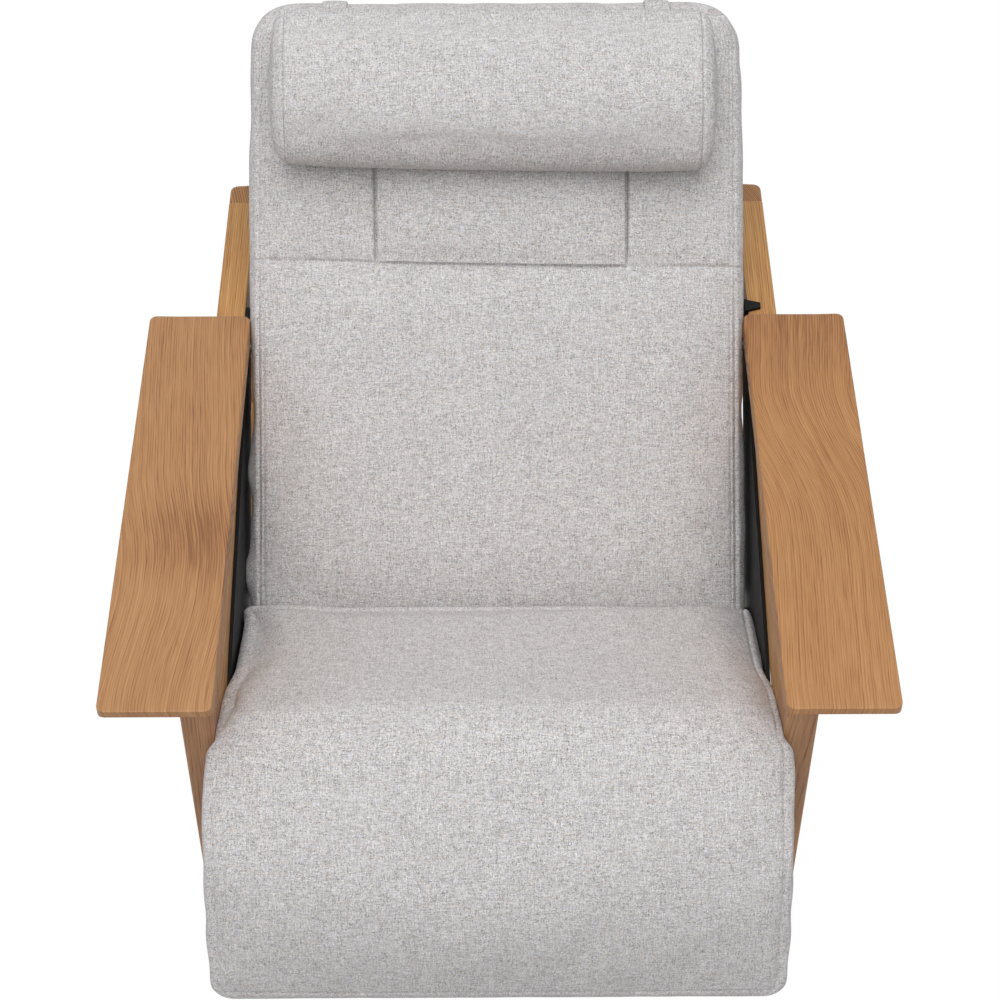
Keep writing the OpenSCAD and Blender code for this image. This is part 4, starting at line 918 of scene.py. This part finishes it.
def pillow(material):
    """Head pillow: a long roll with a low dome sewn on at each end, hanging a little askew."""
    depth, middle_u = PILLOW_REAR - PILLOW_FRONT, (PILLOW_LOW + PILLOW_HIGH) / 2
    middle_w, half_w = PILLOW_REAR - 21.3, depth / 2
    low, high = (-PILLOW_HW, PILLOW_FRONT, PILLOW_LOW), (PILLOW_HW, PILLOW_REAR, PILLOW_HIGH)
    end = [1.6, 4, 7, 9.6, 11.2, 12.2, 13, 13.8, 14.8, 17, 22]
    points, quads, axes = lattice([
        stations(low[0], high[0], 9.0, end), stations(low[1], high[1], 6.3),
        stations(low[2], high[2], 7.5),
    ])
    front = points[:, 1] < (PILLOW_FRONT + PILLOW_REAR) / 2
    radii = np.where(front[:, None], [0.01, half_w - 0.5, 76.0], [0.01, 17.0, 62.0])
    x, w, u = rounded(points, low, high, radii).T
    on_cap = np.abs(points[:, 0]) > PILLOW_HW - 0.5
    # The roll is slimmer towards the seams, and beyond them the ends close in
    t = np.clip(np.abs(x) / PILLOW_SEAM, 0, 1)
    beyond = np.clip((np.abs(x) - PILLOW_SEAM) / (PILLOW_HW - PILLOW_SEAM), 0, 1)
    closing = np.sqrt(np.maximum(0.0, 1 - (0.80 * beyond) ** 2)) ** 0.5
    slim = (1 - 0.035 * t ** 6) * closing - 0.012 * smooth(beyond / 0.12)
    w = middle_w + (w - middle_w) * slim
    u = middle_u + (u - middle_u) * slim
    radial = np.clip(np.hypot((points[:, 1] - (PILLOW_FRONT + PILLOW_REAR) / 2) / half_w,
                              (points[:, 2] - middle_u) / 83), 0, 1.2)
    x = x + np.sign(x) * np.where(on_cap, 1.6 * bulge(radial, 2), 0)
    sag = 2.2 * bulge(x / PILLOW_HW, 2) + 0.008 * x
    u = u + (2.8 - sag - 0.004 * x) * smooth((middle_u + 30 - u) / 90) - 0.006 * x
    local = np.stack([x - 3, w, u], 1)
    seam = 0.97 * seam_value(np.abs(np.abs(points[:, 0]) - PILLOW_SEAM), 5.0) * ~on_cap
    made = piece_from("head_pillow_cover", back(local), quads, axes, points, seam)
    puff(made, np.maximum(smooth((w + 78) / 10), pinned(seam, 0.85)), 6.0, 0.01, 6)
    subdivided(made)
    press_seams(made, 1.5)
    dressed(made, "pillow", "upholstery", material, "head_pillow")


def straps(material):
    """Two cloth straps from the pillow over the top edge and down the rear panel."""
    over, rear, front = BACK_TOP + 0.9, BACK_SHELL_W + 0.9, -67.7
    route = np.array([
        (front, PILLOW_LOW + 34), (front, BACK_TOP - 52), (-61.8, BACK_TOP - 22), (-50.0, over - 7),
        (-44.5, over - 1.2), (-40.0, over - 0.2), (-20.0, over + 0.2), (30.0, over + 0.2),
        (70.0, over - 0.2), (rear, over - 6), (rear, BACK_TOP - 90),
    ])
    length = lengths(route)
    run = stations(0, length[-1], 6.0)
    path = follow(run, length, route)
    for _ in range(2):
        path[1:-1] = (path[:-2] + 2 * path[1:-1] + path[2:]) / 4
    out = -beside(path)
    half = np.array([3, 8, 11.6, 12.6, STRAP_HW])
    lines = [np.concatenate([-half[::-1], half]), np.array([0, 0.9, 1.8, STRAP_T]), run]
    points, quads, axes = lattice(lines)
    low, high = (-STRAP_HW, 0, -4), (STRAP_HW, STRAP_T, run[-1] + 4)
    x, t, l = rounded(points, low, high, 1.2).T
    rise = t * (0.8 + 0.5 * bulge(x / STRAP_HW, 2) * hump(l, 190, 40))
    place = follow(l, run, path) + follow(l, run, out) * rise[:, None]
    seam = seam_value(np.abs(np.abs(x) - 10.2), 3.0) * 0.92
    for side, word in ((-1, "left"), (1, "right")):
        local = back(np.column_stack([side * STRAP_X + x, place]))
        made = piece_from(f"pillow_strap_{word}", local, quads, axes, points, seam)
        subdivided(made)
        dressed(made, "backrest", "strap_webbing", material, "pillow_straps")


# ---- seat and leg rest

def seat_cover(material):
    """Cloth over the seat, round the front roll and down the leg rest, which bends at the knee."""
    crest = seat_point(294, 5)
    outer, run = smoothed_path(
        [seat_point(SEAT_START, 1), seat_point(150, 0), crest, around_knee(48, 62), leg_point(-50.5, -6),
         leg_point(-50.5, -80), leg_point(-49, -LEG_LEN)], 1.0, 17)
    total = run[-1]

    def run_at(place):
        """Running length of the outer line where it passes a place."""
        return run[np.argmin(np.hypot(*(outer - np.array(place)).T))]

    crest_run, knee_run, pad_run = (
        run_at(place) for place in (crest, around_knee(47.5, 90), leg_point(-50, -6)))
    leg_run = run[np.argmin(np.abs(outer[:, 0] - FRONT - 40))]
    # Inner points: under the seat, round the knee and down behind the pad
    marks = [0, 0.55 * crest_run, crest_run - 16]
    inner = [seat_point(SEAT_START, -COVER_T), seat_point(150, -COVER_T), around_knee(51, 171)]
    for degrees in (150, 128, 108, 95):
        marks.append(np.interp(degrees, [95, 171], [knee_run - 4, crest_run - 16]))
        inner.append(around_knee(50.5, degrees))
    for degrees, share in ((90, 0.0), (62, 0.4), (38, 0.75), (22, 1.0)):
        marks.append(knee_run + 4 + share * (pad_run - knee_run - 4))
        inner.append(around_knee(18.5, degrees))
    marks += [pad_run + 46, total]
    inner += [leg_point(-17.6, -52), leg_point(-17.2, -LEG_LEN)]

    edge = [0.6, 1.5, 3, 5, 7, 8.2, 9.2, 10.4, 12, 15, 20]
    crossing = np.array([-3, 0, 3])
    points, quads, axes = lattice([
        stations(-COVER_HW, COVER_HW, 9.0, edge),
        np.array([0, 2, 5, 9, 14, 22, 32, 43, 54, 65, 71, COVER_T]),
        stations(0, total, 7.5, edge, knee_run + crossing, leg_run + crossing),
    ])
    upper = points[:, 1:2] < COVER_T / 2
    radii = np.where(upper, [4.5, 10.0, 14.0], [4.0, 5.0, 6.0])
    radii = np.where((points[:, 2:] < 20) & upper, [7.0, 10.0, 10.0], radii)
    x, d, l = rounded(points, (-COVER_HW, 0, 0), (COVER_HW, COVER_T, total), radii).T
    top, bottom = follow(l, run, outer), follow(l, marks, np.array(inner))
    share = d / COVER_T
    place = top + (bottom - top) * share[:, None]

    # Width: narrow between the frames, wide in front of them, and drawn in below the side plates' top
    a = top[:, 0] - FRONT
    width = BETWEEN_HW + slopes(-a, FORWARD_WIDER)
    under = UNDER_HW + (width - UNDER_HW) * smooth((34 - a) / 10)
    depth_mm = share * np.linalg.norm(bottom - top, axis=1)
    plate_top = np.maximum(352 + 0.256 * (a + 5), 376)
    free = np.maximum(top[:, 1] - plate_top - 12, 10)
    width = width + (under - width) * smooth((depth_mm - free) / 12) * (a > -18)
    over = np.maximum(0, l - (total - PAD_CORNER_R))
    width = width - PAD_CORNER_R + np.sqrt(np.maximum(0, PAD_CORNER_R ** 2 - over ** 2))
    side = x / COVER_HW
    x = side * width
    # Sides: soft and wrinkled from the crest on
    wrinkle = 0.8 * np.sin(l / 17 + 1.3 * np.sin(l / 41)) + 0.5 * np.sin(l / 9.3)
    flank = smooth((np.abs(side) - 0.95) / 0.05) * smooth((l - crest_run) / 30)
    soft = bulge((share - 0.5) / 0.5, 2) * flank
    x = x + np.sign(x) * soft * (1.0 + 0.6 * wrinkle) - 1.5 * smooth((l - crest_run) / 80)
    # Crown, along the cloth's own normal, and the raised rear corners
    seat_crown = 10.0 * bulge(2 * np.clip(l / crest_run, 0, 1) - 1, 6) + 3.0 * (1 - smooth(l / 60))
    front_crown = 4.0 * smooth((l - crest_run + 60) / 60) * smooth((total - l) / 40)
    pad_crown = 7.0 * bulge(2 * np.clip((l - pad_run) / (total - pad_run), 0, 1) - 1, 2)
    crown = (seat_crown + front_crown + pad_crown) * bulge(side, 4)
    corner = (1 - smooth(l / 55)) * np.where(x < 0, 7.0, 2.0) * smooth((np.abs(x) - 150) / 90)
    rise = (crown + corner) * (1 - share) ** 2
    place = place + follow(l, run, beside(outer)) * rise[:, None]
    local = np.column_stack([x, place])

    across = np.abs(side) * COVER_HW
    gap = np.abs(across - PIPING_X)
    at_hem = (l > total - 14) & (across < 272)
    gap = np.where(at_hem, np.minimum(gap, np.abs(total - l - HEM_IN)), gap)
    seam = 0.92 * seam_value(gap) * (points[:, 1] < 6)
    # The left piping only shows from the front legs on
    seam = seam * np.where(x < 0, smooth((l - leg_run) / 60), 1.0)
    made = piece_from("seat_and_leg_cover", local, quads, axes, points, seam)
    puff(made, np.maximum(smooth((share - 0.45) / 0.2), pinned(seam, 0.8)), 8.0)
    subdivided(made)
    press_seams(made, 1.1)
    settled = coords(made.data)
    by_legs = settled[:, 1] > (FRONT + LEG_START_A) * MM
    settled[by_legs, 0] = np.clip(settled[by_legs, 0], -BY_LEGS_HW * MM, BY_LEGS_HW * MM)
    set_coords(made.data, settled)
    dressed(made, None, "upholstery", material, "seat_cushion", "leg_rest_cushion")
    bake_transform(made)


# ---- carried nodes

def carried():
    """Finishes of the CAD nodes that keep their own shape."""
    # Near-black powder coat, darkened further to the depth of the shaded gaps beside the cushions: partly
    # painted shade
    powder = speckled("powder_coat", (12, 12, 13), (20, 20, 21), 1400, 0.55, 0.10, Specular_IOR_Level=0.16)
    moulded = speckled("moulded_plastic", (26, 26, 28), (36, 36, 38), 2200, 0.55, 0.06)
    zinc = speckled("zinc_steel", (176, 178, 182), (150, 152, 157), 700, 0.36, 0.03, 1.0, (1, 0.12, 1))
    ground = speckled("ground_steel", (190, 192, 196), (165, 167, 172), 900, 0.25, 0.02, 1.0, (0.15, 1, 1))
    rubber = speckled("head_rubber", (30, 30, 31), (42, 41, 41), 1200, 0.7, 0.10)
    felt = speckled("felt_pad", (52, 48, 44), (80, 74, 68), 1800, 0.95, 0.30)
    nylon = speckled("natural_nylon", (224, 221, 210), (206, 202, 190), 500, 0.42, 0.03,
                     Subsurface_Weight=0.1)
    beech = oak("dowel_beech", 1, (0.3, 0.3), 6.1, (1.05, 1.05, 1.05))
    seat_ply = plywood("seat_plywood", (0.0, math.sin(SEAT_SLOPE), math.cos(SEAT_SLOPE)))
    leg_ply = plywood("leg_plywood", (0.0, math.cos(LEG_TILT), -math.sin(LEG_TILT)))
    finishes = {
        powder: ["side_plate_left", "side_plate_right", "cross_tubes", "recline_actuator", "recline_lever",
                 "back_rail_left", "back_rail_right", "back_cross_bars", "screw_bearings",
                 "massage_arm_left", "massage_arm_right", "leg_rest_arms"],
        moulded: ["control_box", "power_inlet", "leg_rest_motor", "back_panel", "screw_motor", "screw_nut",
                  "gear_case"],
        zinc: ["plate_bolts", "guide_rail_left", "guide_rail_right", "carriage_plate", "knead_motor",
               "tap_motor"],
        ground: ["pivot_pins", "recline_rod", "lead_screw", "knead_shaft"],
        rubber: ["upper_head_left", "upper_head_right", "lower_head_left", "lower_head_right"],
        felt: ["foot_glides"],
        nylon: ["carriage_shoes"],
        beech: ["wood_dowels"],
        seat_ply: ["seat_board"],
        leg_ply: ["leg_rest_board"],
    }
    for material, nodes in finishes.items():
        for node in nodes:
            mesh = frame["nodes"][node].data
            mesh.materials.clear()
            mesh.materials.append(material)


# ---- floor and light

# Half width and height of the floor in metres, and its cells each way, by which its glow is sampled
FLOOR_HW, FLOOR_Z, FLOOR_CELLS = 6, -0.0002, 12
WHITE = (1.0, 1.0, 1.0, 1.0)
FLOOR_SHADES = [(0.3, (206.4, 206.4, 206.4)), (0.7, (212.2, 212.2, 212.2))]


def seen_rays(graph):
    """1 for rays that show the surroundings themselves: the camera's, or by gloss or through glass."""
    path = graph.node("LightPath", {})
    camera_ray, glossy, through = (
        Value(graph, path[f"Is {kind} Ray"]) for kind in ("Camera", "Glossy", "Transmission"))
    return camera_ray.do("MAXIMUM", glossy).do("MAXIMUM", through)


def floor():
    """White floor that glows towards the camera and still takes the chair's shadow."""
    graph = material_graph("floor_paper")
    speckle = graph.noise(graph.node("TexCoord", {})["Object"], 3.0)
    paper = graph.node("BsdfDiffuse", {"Color": graph.ramp(speckle, FLOOR_SHADES)})
    glow = graph.node("Emission", {"Color": WHITE, "Strength": 1.04})
    shade = graph.node("MixShader", {0: seen_rays(graph) * 0.94, 1: paper[0], 2: glow[0]})
    graph.node("OutputMaterial", {0: shade[0]})
    mesh = bpy.data.meshes.new("floor")
    steps = np.linspace(-FLOOR_HW, FLOOR_HW, FLOOR_CELLS + 1).tolist()
    n = len(steps)
    quads = [(k, k + n, k + n + 1, k + 1) for k in range(n * (n - 1)) if (k + 1) % n]
    mesh.from_pydata([(x, y, FLOOR_Z) for x in steps for y in steps], [], quads)
    made = bpy.data.objects.new("floor", mesh)
    bpy.context.scene.collection.objects.link(made)
    mesh.materials.append(graph.owner)


def room():
    """Soft light from all around, white where it is seen directly."""
    graph = Graph(bpy.data.worlds.new("soft_room"))
    bpy.context.scene.world = graph.owner
    soft = graph.node("Background", {0: (0.97, 0.985, 1.0, 1.0), 1: 0.37})
    white = graph.node("Background", {0: WHITE, 1: 1.0})
    shade = graph.node("MixShader", {0: seen_rays(graph), 1: soft[0], 2: white[0]})
    graph.node("OutputWorld", {0: shade[0]})


# Each lamp's place and side length in metres and its power. All aim at the chair's middle
LAMPS = {
    "overhead_softbox": ((0.15, -0.4, 5.0), 3.8, 91.0),
    "key_softbox": ((0.0, -2.4, 4.4), 2.6, 43.0),
    "front_softbox": ((-0.3, -2.2, 3.0), 1.8, 12.0),
    "side_softbox": ((-2.6, -1.2, 3.2), 2.2, 12.0),
}
LAMP_AIM = Vector((0.0, 0.0, 0.4))


def lamps():
    for name, (place, size, power) in LAMPS.items():
        light = bpy.data.lights.new(name, "AREA")
        light.shape = "SQUARE"
        light.size = size
        light.energy = power
        lamp = bpy.data.objects.new(name, light)
        lamp.location = place
        lamp.rotation_euler = (LAMP_AIM - Vector(place)).to_track_quat("-Z", "Y").to_euler()
        bpy.context.scene.collection.objects.link(lamp)


# The photograph's camera: place in metres, tilt and turn in degrees, focal length in millimetres
CAMERA_PLACE = (-0.0079, -1.7637, 2.2482)
CAMERA_DOWN, CAMERA_TURN = 46.104, -0.336
CAMERA_LENS = 87.84


def camera():
    data = bpy.data.cameras.new("photo_camera")
    data.sensor_width = 36
    data.lens = CAMERA_LENS
    data.clip_end = 50
    made = bpy.data.objects.new("photo_camera", data)
    made.location = CAMERA_PLACE
    made.rotation_euler = (math.radians(90 - CAMERA_DOWN), 0.0, math.radians(CAMERA_TURN))
    bpy.context.scene.collection.objects.link(made)
    bpy.context.scene.camera = made


camera()
cloth = upholstery("melange_weave")
side_frames(woods())
flap(cloth, front_of(back_cushion(cloth)))
shell_cover(cloth)
pillow(cloth)
straps(cloth)
seat_cover(cloth)
carried()
floor()
room()
lamps()
bpy.context.scene.view_settings.view_transform = "Standard"
